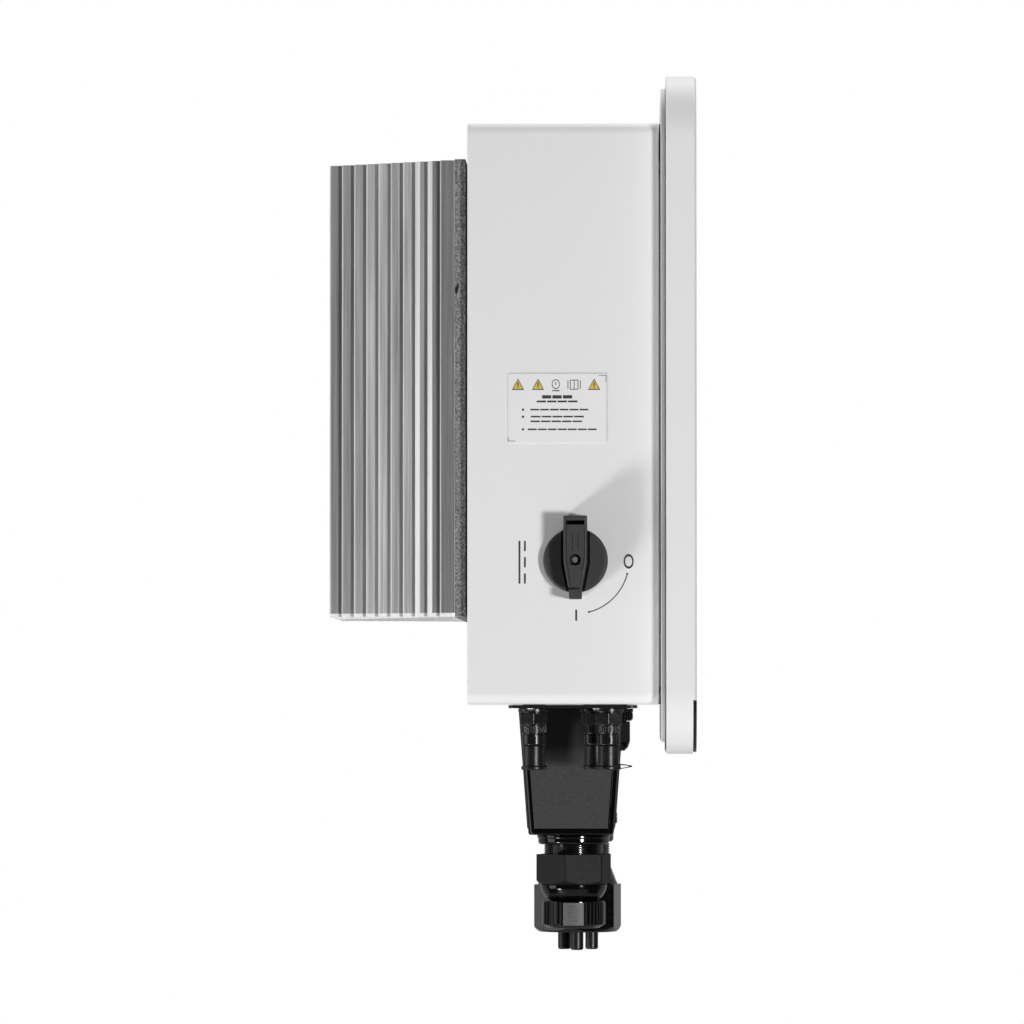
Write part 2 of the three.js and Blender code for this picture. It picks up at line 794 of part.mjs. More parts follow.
// The lever's outline in Y and Z: a broad tail above the shaft and a narrow pointer below it.
function leverOutline(inset) {
  const { tail, nose, tailHalf, noseHalf } = SWITCH.lever;
  const { y, z } = switchAt;
  const wide = tailHalf - inset;
  const narrow = noseHalf - inset;
  return polygon([
    [y - narrow, z - nose + inset],
    [y + narrow, z - nose + inset],
    [y + narrow * 1.1, z - nose * 0.72],
    [y + wide, z],
    [y + wide, z + tail - inset],
    [y - wide, z + tail - inset],
    [y - wide, z],
    [y - narrow * 1.1, z - nose * 0.72],
  ]);
}

// The disc is hollowed on each side of the lever, deepest beside it, to give the fingers room.
function knobDisc() {
  const { radius, top, edge, scoop } = SWITCH.disc;
  const half = SWITCH.lever.tailHalf;
  const profile = [
    [0, knobFoot],
    [radius, knobFoot],
    [radius, top - edge],
    [radius - edge, top],
    [0, top],
  ];
  const outer = caseSide - GAP - top;
  const hollows = [-1, 1].map((side) => alongZ(
    polygon([
      [outer - GAP, switchAt.y + side * half],
      [outer + scoop, switchAt.y + side * half],
      [outer - GAP, switchAt.y + side * (radius - edge)],
    ]),
    switchAt.z - radius - GAP,
    switchAt.z + radius + GAP,
  ));
  return cut(turned(profile, LEFT, switchFace, ROUND_SIDES), ...hollows);
}

function switchKnob() {
  const { lever, lock, recess, shaft, pointer, screw } = SWITCH;
  const outer = caseSide - GAP - lever.top;
  const inner = caseSide - GAP - knobFoot;
  const foot = alongX(leverOutline(0), outer + lever.cap, inner);
  const crown = alongX(leverOutline(lever.draft), outer, outer + lever.cap + GAP);
  const lockZ = switchAt.z + lever.tail - lock.fromEnd;
  const lockSlot = block(
    [outer - GAP, inner + GAP],
    around(switchAt.y, lock.width),
    [lockZ - lock.height, lockZ],
  );
  const pointerStep = block(
    [outer - GAP, caseSide - GAP - pointer.top],
    around(switchAt.y, 4 * lever.noseHalf),
    [switchAt.z - lever.nose - GAP, switchAt.z - pointer.from],
  );
  return cut(
    join(knobDisc(), foot, crown),
    lockSlot,
    pointerStep,
    rod(recess.radius, lever.top - recess.depth, lever.top + GAP, LEFT, switchFace),
    rod(screw.radius + GAP, knobFoot + shaft.grip - GAP, lever.top, LEFT, switchFace),
    rod(shaft.radius + GAP, knobFoot - GAP, knobFoot + shaft.grip, LEFT, switchFace),
  );
}

function switchScrew() {
  const { screw, recess, lever } = SWITCH;
  const seat = lever.top - recess.depth + GAP;
  const profile = [
    [0, seat - screw.length],
    [screw.radius, seat - screw.length],
    [screw.radius, seat],
    [screw.head, seat],
    [screw.head, seat + screw.headHeight * 0.6],
    [screw.head * 0.6, seat + screw.headHeight],
    [0, seat + screw.headHeight],
  ];
  return turned(profile, LEFT, switchFace, 12);
}

// The shaft runs from inside the knob, through the washer and the case wall, into the switch body. Its
// outer end is drilled for the knob's screw.
function switchShaft() {
  const { shaft, screw, lever, recess } = SWITCH;
  const outerEnd = knobFoot + shaft.grip - GAP;
  const innerEnd = -CASE.wall - GAP - shaft.reach;
  const screwTip = lever.top - recess.depth + GAP - screw.length;
  return cut(
    rod(shaft.radius, innerEnd, outerEnd, LEFT, switchFace),
    rod(screw.radius + GAP, Math.min(screwTip, outerEnd) - 1, outerEnd + GAP, LEFT, switchFace, 12),
  );
}

function switchBody() {
  const { body, shaft } = SWITCH;
  const face = caseSide + CASE.wall + GAP;
  const hole = rod(
    shaft.radius + GAP,
    -CASE.wall - 2 * GAP - shaft.reach,
    GAP,
    LEFT,
    switchFace,
  );
  return cut(
    block([face, face + body.length], around(switchAt.y, body.side), around(switchAt.z, body.side)),
    hole,
  );
}

function sideLabel() {
  const y = caseBack - LABEL.fromBack;
  const z = caseFloor + LABEL.fromFloor;
  const outline = roundedRect(LABEL.width, LABEL.height, LABEL.corner, y, z);
  return alongX(outline, caseSide - GAP - LABEL.thickness, caseSide - GAP, 2);
}

add("switch_washer", switchWasher(), FINISH.rubber);
add("switch_knob", switchKnob(), FINISH.knobPlastic);
add("switch_screw", switchScrew(), FINISH.steel);
add("switch_shaft", switchShaft(), FINISH.steel);
add("switch_body", switchBody(), FINISH.relay);
add("side_label", sideLabel(), FINISH.sticker);

// ---------------------------------------------------------------- solar connectors under the case

const underPlate = ({ x, y }) => [x, y, plateBottom - GAP];

function connectorPlate() {
  const left = caseSide + PLATE.fromSide;
  const rear = caseBack - PLATE.fromBack;
  const outline = roundedRect(
    PLATE.width,
    PLATE.depth,
    PLATE.corner,
    left + PLATE.width / 2,
    rear - PLATE.depth / 2,
  );
  const hole = (radius, { x, y }) => rod(
    radius + GAP,
    -GAP,
    PLATE.thickness + GAP,
    DOWN,
    [x, y, plateTop],
  );
  return cut(
    alongZ(outline, plateBottom, plateTop, 4),
    ...pvAt.map((at) => hole(PV.thread.radius, at)),
    hole(COM.thread.radius, comAt),
  );
}

function pvSocket(at) {
  const { nut, collar, spigot, bore, thread } = PV;
  const inside = -(PLATE.thickness + 2 * GAP + CASE.wall + thread.inside);
  const collarEnd = nut.height + collar.height;
  const end = collarEnd + spigot.height;
  const profile = [
    [0, inside],
    [thread.radius, inside],
    [thread.radius, 0],
    [nut.radius, 0],
    [nut.radius, nut.height - nut.chamfer],
    [nut.radius - nut.chamfer, nut.height],
    [collar.radius, nut.height],
    [collar.radius, collarEnd],
    [spigot.radius, collarEnd],
    [spigot.radius, end],
    [bore.radius, end],
    [bore.radius, end - bore.depth],
    [0, end - bore.depth],
  ];
  return turned(profile, DOWN, underPlate(at));
}

// A dust cap: a cup that slips over the socket's spigot, with a pull tab on its rim.
function pvCap(at) {
  const { nut, collar, spigot } = PV;
  const top = nut.height + collar.height + GAP;
  const floor = nut.height + collar.height + spigot.height + GAP;
  const end = floor + CAP.floor;
  const inner = spigot.radius + GAP;
  const outer = inner + CAP.wall;
  const rim = outer + CAP.flange;
  const profile = [
    [0, floor],
    [inner, floor],
    [inner, top],
    [outer, top],
    [outer, end - CAP.flangeHeight],
    [rim, end - CAP.flangeHeight],
    [rim, end],
    [0, end],
  ];
  const low = plateBottom - GAP - end;
  const front = polygon([
    [at.y - outer + CAP.wall, low],
    [at.y - outer - CAP.tab, low + CAP.tabHeight * 0.45],
    [at.y - outer - CAP.tab, low + CAP.tabHeight * 0.65],
    [at.y - outer + CAP.wall, low + CAP.tabHeight],
  ]);
  const tab = at.tab === "front"
    ? alongX(front, ...around(at.x, 3))
    : block([at.x + outer - CAP.wall, at.x + outer + CAP.tab], around(at.y, 3), [low, low + 2]);
  return join(turned(profile, DOWN, underPlate(at)), tab);
}

function comGlandBody() {
  const { flange, thread, spigot } = COM;
  const inside = -(PLATE.thickness + 2 * GAP + CASE.wall + thread.inside);
  const end = flange.height + spigot.height;
  const profile = [
    [0, inside],
    [thread.radius, inside],
    [thread.radius, 0],
    [flange.radius, 0],
    [flange.radius, flange.height - 1],
    [flange.radius - 1, flange.height],
    [spigot.radius, flange.height],
    [spigot.radius, end],
    [0, end],
  ];
  return turned(profile, DOWN, underPlate(comAt));
}

function comGlandNut() {
  const { flange, spigot, nut } = COM;
  const top = flange.height + GAP;
  const skirt = top + nut.height;
  const end = skirt + nut.dome;
  const blank = alongZ(
    hexagon(nut.radius, comAt.x, comAt.y),
    underPlate(comAt)[2] - skirt,
    underPlate(comAt)[2] - top,
  );
  const dome = turned([
    [0, skirt - 1],
    [nut.radius * 0.86, skirt - 1],
    [nut.radius * 0.86, skirt],
    [nut.radius * 0.7, skirt + nut.dome * 0.6],
    [nut.mouth, end],
    [0, end],
  ], DOWN, underPlate(comAt));
  const hollow = rod(spigot.radius + GAP, top - GAP, flange.height + spigot.height + GAP, DOWN,
    underPlate(comAt));
  return cut(join(blank, dome), hollow);
}

add("connector_plate", connectorPlate(), FINISH.blackPlastic);
pvAt.forEach((at, i) => add(`pv_socket_${i + 1}`, pvSocket(at), FINISH.blackPlastic));
pvAt.forEach((at, i) => add(`pv_cap_${i + 1}`, pvCap(at), FINISH.rubber));
add("com_gland_body", comGlandBody(), FINISH.blackPlastic);
add("com_gland_nut", comGlandNut(), FINISH.glossPlastic);

// ---------------------------------------------------------------- wiring box and its cable glands

// A rounded block that narrows by the draft on every side from its top to its bottom.
function drafted(width, depth, corner, top, bottom, draft) {
  const geometry = extruded(roundedRect(width, depth, corner), top - bottom, 4);
  const place = geometry.attributes.position;
  for (let i = 0; i < place.count; i += 1) {
    if (place.getZ(i) < (top - bottom) / 2) {
      place.setX(i, place.getX(i) * (1 - (2 * draft) / width));
      place.setY(i, place.getY(i) * (1 - (2 * draft) / depth));
    }
  }
  return solid(geometry.translate(BOX.x, boxY, bottom));
}

function wiringBox() {
  const { width, depth, corner, draft, wall, height } = BOX;
  const innerDraft = (draft * (height - wall)) / height;
  const inner = drafted(
    width - 2 * wall,
    depth - 2 * wall,
    corner - wall,
    boxTop + GAP,
    boxBottom + wall,
    innerDraft,
  );
  const holes = [DATA_GLAND, AC_GLAND].map((gland) => rod(
    gland.thread.radius + GAP,
    -wall - GAP,
    GAP,
    DOWN,
    [gland.x, caseBack - gland.fromBack, boxBottom],
    ROUND_SIDES,
  ));
  return cut(drafted(width, depth, corner, boxTop, boxBottom, draft), inner, ...holes);
}

function wiringGasket() {
  const width = BOX.width - 1;
  const depth = BOX.depth - 1;
  const ring = roundedRect(width, depth, BOX.corner, BOX.x, boxY);
  ring.holes.push(roundedRect(width - BOX.wall, depth - BOX.wall, BOX.corner - 1, BOX.x, boxY));
  return alongZ(ring, boxGasketTop - BOX.gasket, boxGasketTop, 3);
}

function glandPlace(gland) {
  return [gland.x, caseBack - gland.fromBack, glandFace];
}

function dataGlandBody() {
  const { collar, neck, hex, bowl, spigot, bore, thread } = DATA_GLAND;
  const at = glandPlace(DATA_GLAND);
  const inside = -(GAP + BOX.wall + thread.inside);
  const neckEnd = collar.height + neck.height;
  const hexEnd = neckEnd + hex.height;
  const bowlEnd = hexEnd + bowl.height;
  const end = bowlEnd + spigot.height;
  const profile = [
    [bore, inside],
    [thread.radius, inside],
    [thread.radius, 0],
    [collar.radius, 0],
    [collar.radius, collar.height],
    [neck.radius, collar.height],
    [neck.radius, hexEnd],
    [bowl.top, hexEnd],
    [bowl.top * 0.9, hexEnd + bowl.height * 0.55],
    [bowl.bottom, bowlEnd],
    [spigot.radius, bowlEnd],
    [spigot.radius, end],
    [bore, end],
    [bore, inside],
  ];
  const core = rod(neck.radius - 1, neckEnd - GAP, hexEnd + GAP, DOWN, at, ROUND_SIDES);
  const flats = cut(hexBlank(hex, neckEnd, hexEnd, at), core);
  return join(turned(profile, DOWN, at, ROUND_SIDES), flats);
}

function acGlandBody() {
  const { collar, neck, cone, spigot, bore, thread } = AC_GLAND;
  const inside = -(GAP + BOX.wall + thread.inside);
  const neckEnd = collar.height + neck.height;
  const coneEnd = neckEnd + cone.height;
  const end = coneEnd + spigot.height;
  const profile = [
    [bore, inside],
    [thread.radius, inside],
    [thread.radius, 0],
    [collar.radius, 0],
    [collar.radius, collar.height],
    [neck.radius, collar.height],
    [neck.radius, neckEnd],
    [cone.radius, coneEnd],
    [spigot.radius, coneEnd],
    [spigot.radius, end],
    [bore, end],
    [bore, inside],
  ];
  return turned(profile, DOWN, glandPlace(AC_GLAND), ROUND_SIDES);
}

// How far below the wiring box the body's shoulder and spigot end, which place the nut and the seal.
function shoulderEnd(gland) {
  const shoulder = gland.cone ? gland.cone.height : gland.hex.height + gland.bowl.height;
  return gland.collar.height + gland.neck.height + shoulder;
}

function glandNut(gland) {
  const at = glandPlace(gland);
  const top = shoulderEnd(gland) + GAP;
  const end = top + gland.nut.height;
  const inner = gland.spigot.radius + GAP;
  const hollow = rod(inner, top - GAP, end - gland.nut.floor, DOWN, at, ROUND_SIDES);
  const mouth = rod(gland.nut.mouth, top, end + GAP, DOWN, at, ROUND_SIDES);
  return cut(hexBlank(gland.nut, top, end, at), hollow, mouth);
}

// The seal's height range inside the nut, between the body's spigot and the nut's floor.
function sealRange(gland) {
  const top = shoulderEnd(gland) + gland.spigot.height + GAP;
  const bottom = shoulderEnd(gland) + gland.nut.height - gland.nut.floor;
  return [top, bottom];
}

function dataGlandSeal() {
  const [top, bottom] = sealRange(DATA_GLAND);
  const radius = DATA_GLAND.spigot.radius;
  const { nub } = DATA_GLAND.seal;
  const end = bottom + DATA_GLAND.nut.floor;
  const profile = [
    [0, top],
    [radius, top],
    [radius, bottom],
    [nub, bottom],
    [nub, end - 1],
    [nub - 2, end],
    [0, end],
  ];
  return turned(profile, DOWN, glandPlace(DATA_GLAND), ROUND_SIDES);
}

// A rubber insert for three single cables, each of its holes closed by a long blanking plug.
function acGlandSeal() {
  const { plug, circle: ring, reach, turn, plugs } = AC_GLAND.seal;
  const [top, bottom] = sealRange(AC_GLAND);
  const [x, y, z] = glandPlace(AC_GLAND);
  const disc = rod(AC_GLAND.spigot.radius, top, bottom, DOWN, [x, y, z], ROUND_SIDES);
  const fingers = Array.from({ length: plugs }, (_, i) => {
    const angle = THREE.MathUtils.degToRad(turn + (i * 360) / plugs);
    const place = [x + ring * Math.cos(angle), y + ring * Math.sin(angle), z];
    const end = bottom + reach;
    const profile = [
      [0, bottom - 1],
      [plug, bottom - 1],
      [plug, end - 1],
      [plug - 1, end],
      [0, end],
    ];
    return turned(profile, DOWN, place, 12);
  });
  return join(disc, ...fingers);
}

add("wiring_box", wiringBox(), FINISH.blackPlastic);
add("wiring_gasket", wiringGasket(), FINISH.rubber);
add("data_gland_body", dataGlandBody(), FINISH.blackPlastic);
add("data_gland_nut", glandNut(DATA_GLAND), FINISH.blackPlastic);
add("data_gland_seal", dataGlandSeal(), FINISH.rubber);
add("ac_gland_body", acGlandBody(), FINISH.blackPlastic);
add("ac_gland_nut", glandNut(AC_GLAND), FINISH.blackPlastic);
add("ac_gland_seal", acGlandSeal(), FINISH.rubber);

export default inverter;
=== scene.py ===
# %% [markdown]
# # A string inverter on its wall, seen from the switch side
#
# This lesson dresses a measured model of a solar string inverter. The measured pieces come from CAD,
# already in place, with their joints. Blender adds what CAD leaves plain: rounded edges, thin printed
# marks, ribs and screws, and a finish for every surface. Each step first says what the piece is on the
# real machine and how it could be made, and then makes it.

# %% Load the measured model
import json
import math

import bmesh
import bpy
from mathutils import Matrix, Vector


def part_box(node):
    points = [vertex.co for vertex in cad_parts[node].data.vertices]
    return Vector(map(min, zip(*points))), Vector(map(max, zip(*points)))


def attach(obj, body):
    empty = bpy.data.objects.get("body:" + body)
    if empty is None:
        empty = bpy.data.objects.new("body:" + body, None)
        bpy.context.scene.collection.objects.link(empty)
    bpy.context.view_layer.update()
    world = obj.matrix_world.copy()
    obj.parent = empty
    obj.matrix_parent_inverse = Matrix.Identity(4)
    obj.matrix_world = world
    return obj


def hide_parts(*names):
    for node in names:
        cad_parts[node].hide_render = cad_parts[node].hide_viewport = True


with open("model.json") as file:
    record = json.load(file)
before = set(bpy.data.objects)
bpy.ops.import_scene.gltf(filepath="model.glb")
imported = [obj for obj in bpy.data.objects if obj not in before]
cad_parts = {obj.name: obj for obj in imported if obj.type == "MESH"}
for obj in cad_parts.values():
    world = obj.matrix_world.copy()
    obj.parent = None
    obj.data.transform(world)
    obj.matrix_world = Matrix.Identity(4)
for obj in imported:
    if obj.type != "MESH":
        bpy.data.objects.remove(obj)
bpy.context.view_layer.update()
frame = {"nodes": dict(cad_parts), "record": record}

# %% [markdown]
# ## Places
#
# Every size below is in millimetres, because that is how a drawing of such a machine is dimensioned, and
# it becomes metres only when a mesh is made. The places are never typed in twice: they are read from the
# CAD piece that the new shape stands for.

# %% Reading a CAD piece's place
METRE = 1000.0
GAP = 0.3  # the air that CAD leaves between two pieces
PAST = 5  # how far a knife reaches past what it cuts


def cad(node):
    """A CAD piece's lowest corner, highest corner and middle, in millimetres."""
    low, high = (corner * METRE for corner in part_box(node))
    return low, high, (low + high) / 2


def facing(direction, at):
    """Local X, Y and Z, with Z along the way that a face looks, put at a place in millimetres.

    Local X is to the right and Y up for somebody who looks at that face."""
    rows = {
        "left": [(0, -1, 0), (0, 0, 1), (-1, 0, 0)],
        "front": [(1, 0, 0), (0, 0, 1), (0, -1, 0)],
        "back": [(-1, 0, 0), (0, 0, 1), (0, 1, 0)],
        "down": [(1, 0, 0), (0, -1, 0), (0, 0, -1)],
        "up": [(1, 0, 0), (0, 1, 0), (0, 0, 1)],
    }[direction]
    turn = Matrix(rows).transposed().to_4x4()
    return Matrix.Translation(Vector(at)) @ turn


print("switch axis, mm:", [round(value, 1) for value in cad("switch_washer")[2]])

# %% [markdown]
# ## Shapes from outlines
#
# Nearly every housing part here is moulded, cast or turned, so it is an outline carried along an axis.
# A stack carries an outline and pulls it in by a few tenths at the ends, which rounds the edges as a mould
# does. A turned piece spins a profile. Both could be made with a Screw or Solidify modifier, but as plain
# lists of corners their sizes stay readable, and the last step turns them into one kind of piece.


# %% Outlines and shapes
def rounded_outline(width, height, corner, at=(0, 0), steps=8):
    """Corners of a rounded rectangle, anticlockwise."""
    corner = max(min(corner, width / 2 - 0.01, height / 2 - 0.01), 0.01)
    points = []
    for x, y, start in ((1, -1, -90), (1, 1, 0), (-1, 1, 90), (-1, -1, 180)):
        for step in range(steps + 1):
            angle = math.radians(start + 90 * step / steps)
            points.append((
                at[0] + x * (width / 2 - corner) + corner * math.cos(angle),
                at[1] + y * (height / 2 - corner) + corner * math.sin(angle),
            ))
    return points


def polygon_outline(radius, sides, turn=0, at=(0, 0)):
    """Corners of a regular polygon."""
    angles = [math.radians(turn) + math.tau * side / sides for side in range(sides)]
    return [(at[0] + radius * math.cos(a), at[1] + radius * math.sin(a)) for a in angles]


def lofted(loops, ring=False):
    """Skins a row of loops that have equally many corners. A ring closes on itself, others get end caps."""
    count = len(loops[0])
    corners = [corner for loop in loops for corner in loop]
    faces = []
    for row in range(len(loops) if ring else len(loops) - 1):
        here, there = row * count, (row + 1) % len(loops) * count
        for i in range(count):
            j = (i + 1) % count
            faces.append((here + i, here + j, there + j, there + i))
    if not ring:
        faces.append(tuple(reversed(range(count))))
        faces.append(tuple(range((len(loops) - 1) * count, len(loops) * count)))
    return corners, faces


def stack(outline, levels):
    """Carries an outline, a function of how far it is pulled in, through pairs of (pulled in, level)."""
    return lofted([[(x, y, level) for x, y in outline(inset)] for inset, level in levels])


def edge_round(radius, level, up, steps=4):
    """Pairs for a stack that round an edge over: at its bottom when up is 1, at its top when it is -1."""
    pairs = []
    for step in range(steps + 1):
        angle = math.radians(90 * step / steps)
        pairs.append((radius * (1 - math.sin(angle)), level + up * radius * (1 - math.cos(angle))))
    return pairs if up > 0 else pairs[::-1]


def slab(width, height, corner, low, high, edge=0.5, at=(0, 0), steps=8):
    """A plate with rounded corners and rounded edges."""
    return stack(
        lambda inset: rounded_outline(width - 2 * inset, height - 2 * inset, corner - inset, at, steps),
        edge_round(edge, low, 1) + edge_round(edge, high, -1),
    )


def prism(outline, low, high):
    """An outline between two levels, with sharp edges."""
    return lofted([[(x, y, level) for x, y in outline] for level in (low, high)])


def smooth_profile(points, radius, steps=3):
    """Rounds the inner corners of a turned piece's profile."""
    rounded = [points[0]]
    for before, corner, after in zip(points, points[1:], points[2:]):
        before, corner, after = (Vector(p) for p in (before, corner, after))
        reach = min(radius, (corner - before).length * 0.45, (after - corner).length * 0.45)
        start = corner + (before - corner).normalized() * reach
        end = corner + (after - corner).normalized() * reach
        for step in range(steps + 1):
            t = step / steps
            rounded.append(tuple(start * (1 - t) ** 2 + corner * 2 * t * (1 - t) + end * t ** 2))
    return rounded + [points[-1]]


def spun(profile, sides):
    """One loop of corners round local Z for each (radius, level)."""
    angles = [math.tau * i / sides for i in range(sides)]
    return [[(r * math.cos(a), r * math.sin(a), level) for a in angles] for r, level in profile]


def turned(profile, radius=0.4, sides=64):
    """Spins a profile of (radius, level) round local Z. Ends on the axis are closed with one corner."""
    profile = smooth_profile(profile, radius) if radius else profile
    loops = spun(profile[1:-1], sides)
    corners, faces = lofted(loops)
    faces = faces[:-2]
    for (_, level), row in zip((profile[0], profile[-1]), (0, len(loops) - 1)):
        corners.append((0, 0, level))
        first = row * sides
        faces += [(first + i, first + (i + 1) % sides, len(corners) - 1) for i in range(sides)]
    return corners, faces


def rod(radius, low, high, sides=64):
    """A plain round bar, mostly to drill with."""
    return turned([(0, low), (radius, low), (radius, high), (0, high)], 0, sides)


def shifted(shape, x, y):
    """A shape moved across its axis."""
    corners, faces = shape
    move = Matrix.Translation((x, y, 0))
    return [tuple(move @ Vector(corner)) for corner in corners], faces


def together(*shapes):
    """Several shapes as the parts of one."""
    corners, faces = [], []
    for more_corners, more_faces in shapes:
        first = len(corners)
        corners += more_corners
        faces += [tuple(first + i for i in face) for face in more_faces]
    return corners, faces


print("a rounded outline has", len(rounded_outline(10, 10, 2)), "corners")

# %% [markdown]
# ## From a shape to a finished piece
#
# A machinist would cut the pockets, break the edges and only then polish. The same order is kept here:
# Boolean modifiers cut, a Bevel modifier breaks sharp edges, and Weighted Normal keeps the flats flat.
# The modifiers are evaluated into a plain mesh at once, so that what is exported is what is seen, the piece
# is given to the body that it rides on, and the CAD pieces that it stands for are hidden.


# %% Making pieces
def raw_object(name, shape, place):
    """An object with a shape's corners in metres and its faces pointing outwards."""
    mesh = bpy.data.meshes.new(name)
    corners, faces = shape
    mesh.from_pydata([tuple(place @ Vector(c) / METRE) for c in corners], [], faces)
    work = bmesh.new()
    work.from_mesh(mesh)
    bmesh.ops.recalc_face_normals(work, faces=work.faces)
    work.to_mesh(mesh)
    work.free()
    thing = bpy.data.objects.new(name, mesh)
    bpy.context.scene.collection.objects.link(thing)
    return thing


def applied(thing):
    """Turns an object's modifiers into its plain mesh."""
    bpy.context.view_layer.update()
    scene = bpy.context.evaluated_depsgraph_get()
    mesh = bpy.data.meshes.new_from_object(thing.evaluated_get(scene), depsgraph=scene)
    thing.modifiers.clear()
    thing.data = mesh
    return thing


def cut_by(thing, tools):
    """Cuts other shapes out of an object, each of them a shape and its place."""
    knives = [raw_object("knife", shape, place) for shape, place in tools]
    for knife in knives:
        boolean = thing.modifiers.new("cut", "BOOLEAN")
        boolean.object = knife
        boolean.operation = "DIFFERENCE"
        boolean.solver = "EXACT"
    applied(thing)
    for knife in knives:
        bpy.data.objects.remove(knife)


def polished(thing, edge=0, crease=38, steps=2):
    """Bevels edges sharper than a crease angle and shades the piece smooth between creases."""
    if edge:
        bevel = thing.modifiers.new("edges", "BEVEL")
        bevel.width = edge / METRE
        bevel.segments = steps
        bevel.limit_method = "ANGLE"
        bevel.angle_limit = math.radians(35)
        bevel.use_clamp_overlap = True
        applied(thing)
    thing.data.shade_smooth()
    thing.data.set_sharp_from_angle(angle=math.radians(crease))
    weights = thing.modifiers.new("flats", "WEIGHTED_NORMAL")
    weights.keep_sharp = True
    return applied(thing)


def handed_over(thing, finish, body, nodes=()):
    """Paints a finished piece, ties it to its body and hides the CAD pieces that it stands for."""
    thing.data.materials.clear()
    thing.data.materials.append(finish)
    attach(thing, body)
    if nodes:
        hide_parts(*nodes)
    print(f"{thing.name}: {len(thing.data.polygons)} faces on {body}")
    return thing


def piece(name, shape, place, finish, body="enclosure", nodes=(), cuts=(), edge=0, crease=38):
    """A finished piece from a shape, its cuts and the width of its broken edges."""
    thing = raw_object(name, shape, place)
    if cuts:
        cut_by(thing, [(tool, place) for tool in cuts])
    polished(thing, edge, crease)
    return handed_over(thing, finish, body, nodes)


# %% [markdown]
# ## Writing node trees as sums
#
# A finish is arithmetic: so much noise, times so much contrast, kept inside a mask. Wired by hand that
# becomes dozens of Math nodes. Here a socket is wrapped so that `1 - mask * 0.5` writes those nodes
# itself, and every other node, in a material or in Geometry Nodes, comes from one method.


# %% Sockets that can be added and multiplied
class Wire:
    """An output socket that adds Math nodes to its tree when it is used in a sum."""

    def __init__(self, recipe, socket):
        self.recipe = recipe
        self.socket = socket

    def __add__(self, other):
        return self.recipe.math("ADD", self, other)

    def __sub__(self, other):
        return self.recipe.math("SUBTRACT", self, other)

    def __rsub__(self, other):
        return self.recipe.math("SUBTRACT", other, self)

    def __mul__(self, other):
        return self.recipe.math("MULTIPLY", self, other)

    def __truediv__(self, other):
        return self.recipe.math("DIVIDE", self, other)

    __radd__ = __add__
    __rmul__ = __mul__

    def above(self, edge, soft):
        """1 where the value is over an edge, 0 where it is under, with a soft step between."""
        settings = {"interpolation_type": "SMOOTHSTEP"}
        inputs = {"Value": self, "From Min": edge - soft, "From Max": edge + soft}
        return self.recipe.node("ShaderNodeMapRange", settings, inputs)


class Recipe:
    """A node tree being written."""

    def __init__(self, tree):
        self.tree = tree

    def node(self, kind, settings=None, inputs=None, output=0):
        """Adds a node: first its settings, or a ramp's stops, then the values or wires of its sockets."""
        made = self.tree.nodes.new(kind)
        for name, value in (settings or {}).items():
            if name == "stops":
                ramp = made.color_ramp.elements
                while len(ramp) < len(value):
                    ramp.new(1.0)
                for stop, (position, grey) in zip(ramp, value):
                    stop.position = position
                    stop.color = (grey, grey, grey, 1.0)
            else:
                setattr(made, name, value)
        for name, value in (inputs or {}).items():
            socket = made.inputs[name]
            if isinstance(value, Wire):
                self.tree.links.new(value.socket, socket)
            else:
                socket.default_value = value
        return Wire(self, made.outputs[output]) if made.outputs else None

    def axes(self, vector, which="XYZ"):
        """A vector's parts: one wire for each letter that is asked for."""
        split = self.node("ShaderNodeSeparateXYZ", inputs={"Vector": vector}).socket.node
        return [Wire(self, split.outputs[letter]) for letter in which]

    def math(self, operation, *values):
        return self.node("ShaderNodeMath", {"operation": operation}, dict(enumerate(values)))


class Finish(Recipe):
    """A material: what is even all over is set on the shader, what varies is wired to it."""

    def __init__(self, name, **even):
        self.material = bpy.data.materials.new(name)
        self.material.use_nodes = True
        super().__init__(self.material.node_tree)
        self.tree.nodes.clear()
        shader = self.node("ShaderNodeBsdfPrincipled", inputs=even)
        self.shader = shader.socket.node
        self.node("ShaderNodeOutputMaterial", inputs={"Surface": shader})
        self.place = self.node("ShaderNodeTexCoord", output="Object")

    def scaled(self, x, y, z):
        """The place on the piece with each axis stretched, so that a pattern can run along one of them."""
        return self.node("ShaderNodeVectorMath", {"operation": "MULTIPLY"}, {0: self.place, 1: (x, y, z)})

    def noise(self, scale, detail=2.0, along=(1, 1, 1)):
        """Soft random grain, 0 to 1, with its size given in grains to the metre."""
        return self.node(
            "ShaderNodeTexNoise",
            inputs={"Vector": self.scaled(*along), "Scale": scale, "Detail": detail},
        )

    def grey(self, value, stops):
        """A value looked up in a ramp of greys."""
        return self.node("ShaderNodeValToRGB", {"stops": stops}, {"Fac": value})

    def mixed(self, factor, first, second):
        """Two colours mixed by a factor."""
        return self.node("ShaderNodeMix", {"data_type": "RGBA"}, {0: factor, 6: first, 7: second}, 2)

    def front(self):
        """The place as somebody sees it who stands in front: across and up."""
        x, z = self.axes(self.place, "XZ")
        return self.node("ShaderNodeCombineXYZ", inputs={0: x, 1: z})

    def relief(self, height, strength, depth):
        """Raises the surface by a height, in metres, without moving its mesh."""
        bump = self.node(
            "ShaderNodeBump",
            inputs={"Height": height, "Strength": strength, "Distance": depth},
        )
        self.wire(Normal=bump)

    def wire(self, **sockets):
        for name, value in sockets.items():
            self.tree.links.new(value.socket, self.shader.inputs[name.replace("_", " ")])


def shade(level, tint=(1.0, 1.0, 1.0)):
    """A linear colour from a grey of 0 to 255 as paint makers give it, and a tint."""
    value = level / 255
    linear = value / 12.92 if value <= 0.04045 else ((value + 0.055) / 1.055) ** 2.4
    return (*(linear * part for part in tint), 1.0)


print("one grey:", [round(part, 3) for part in shade(128)])

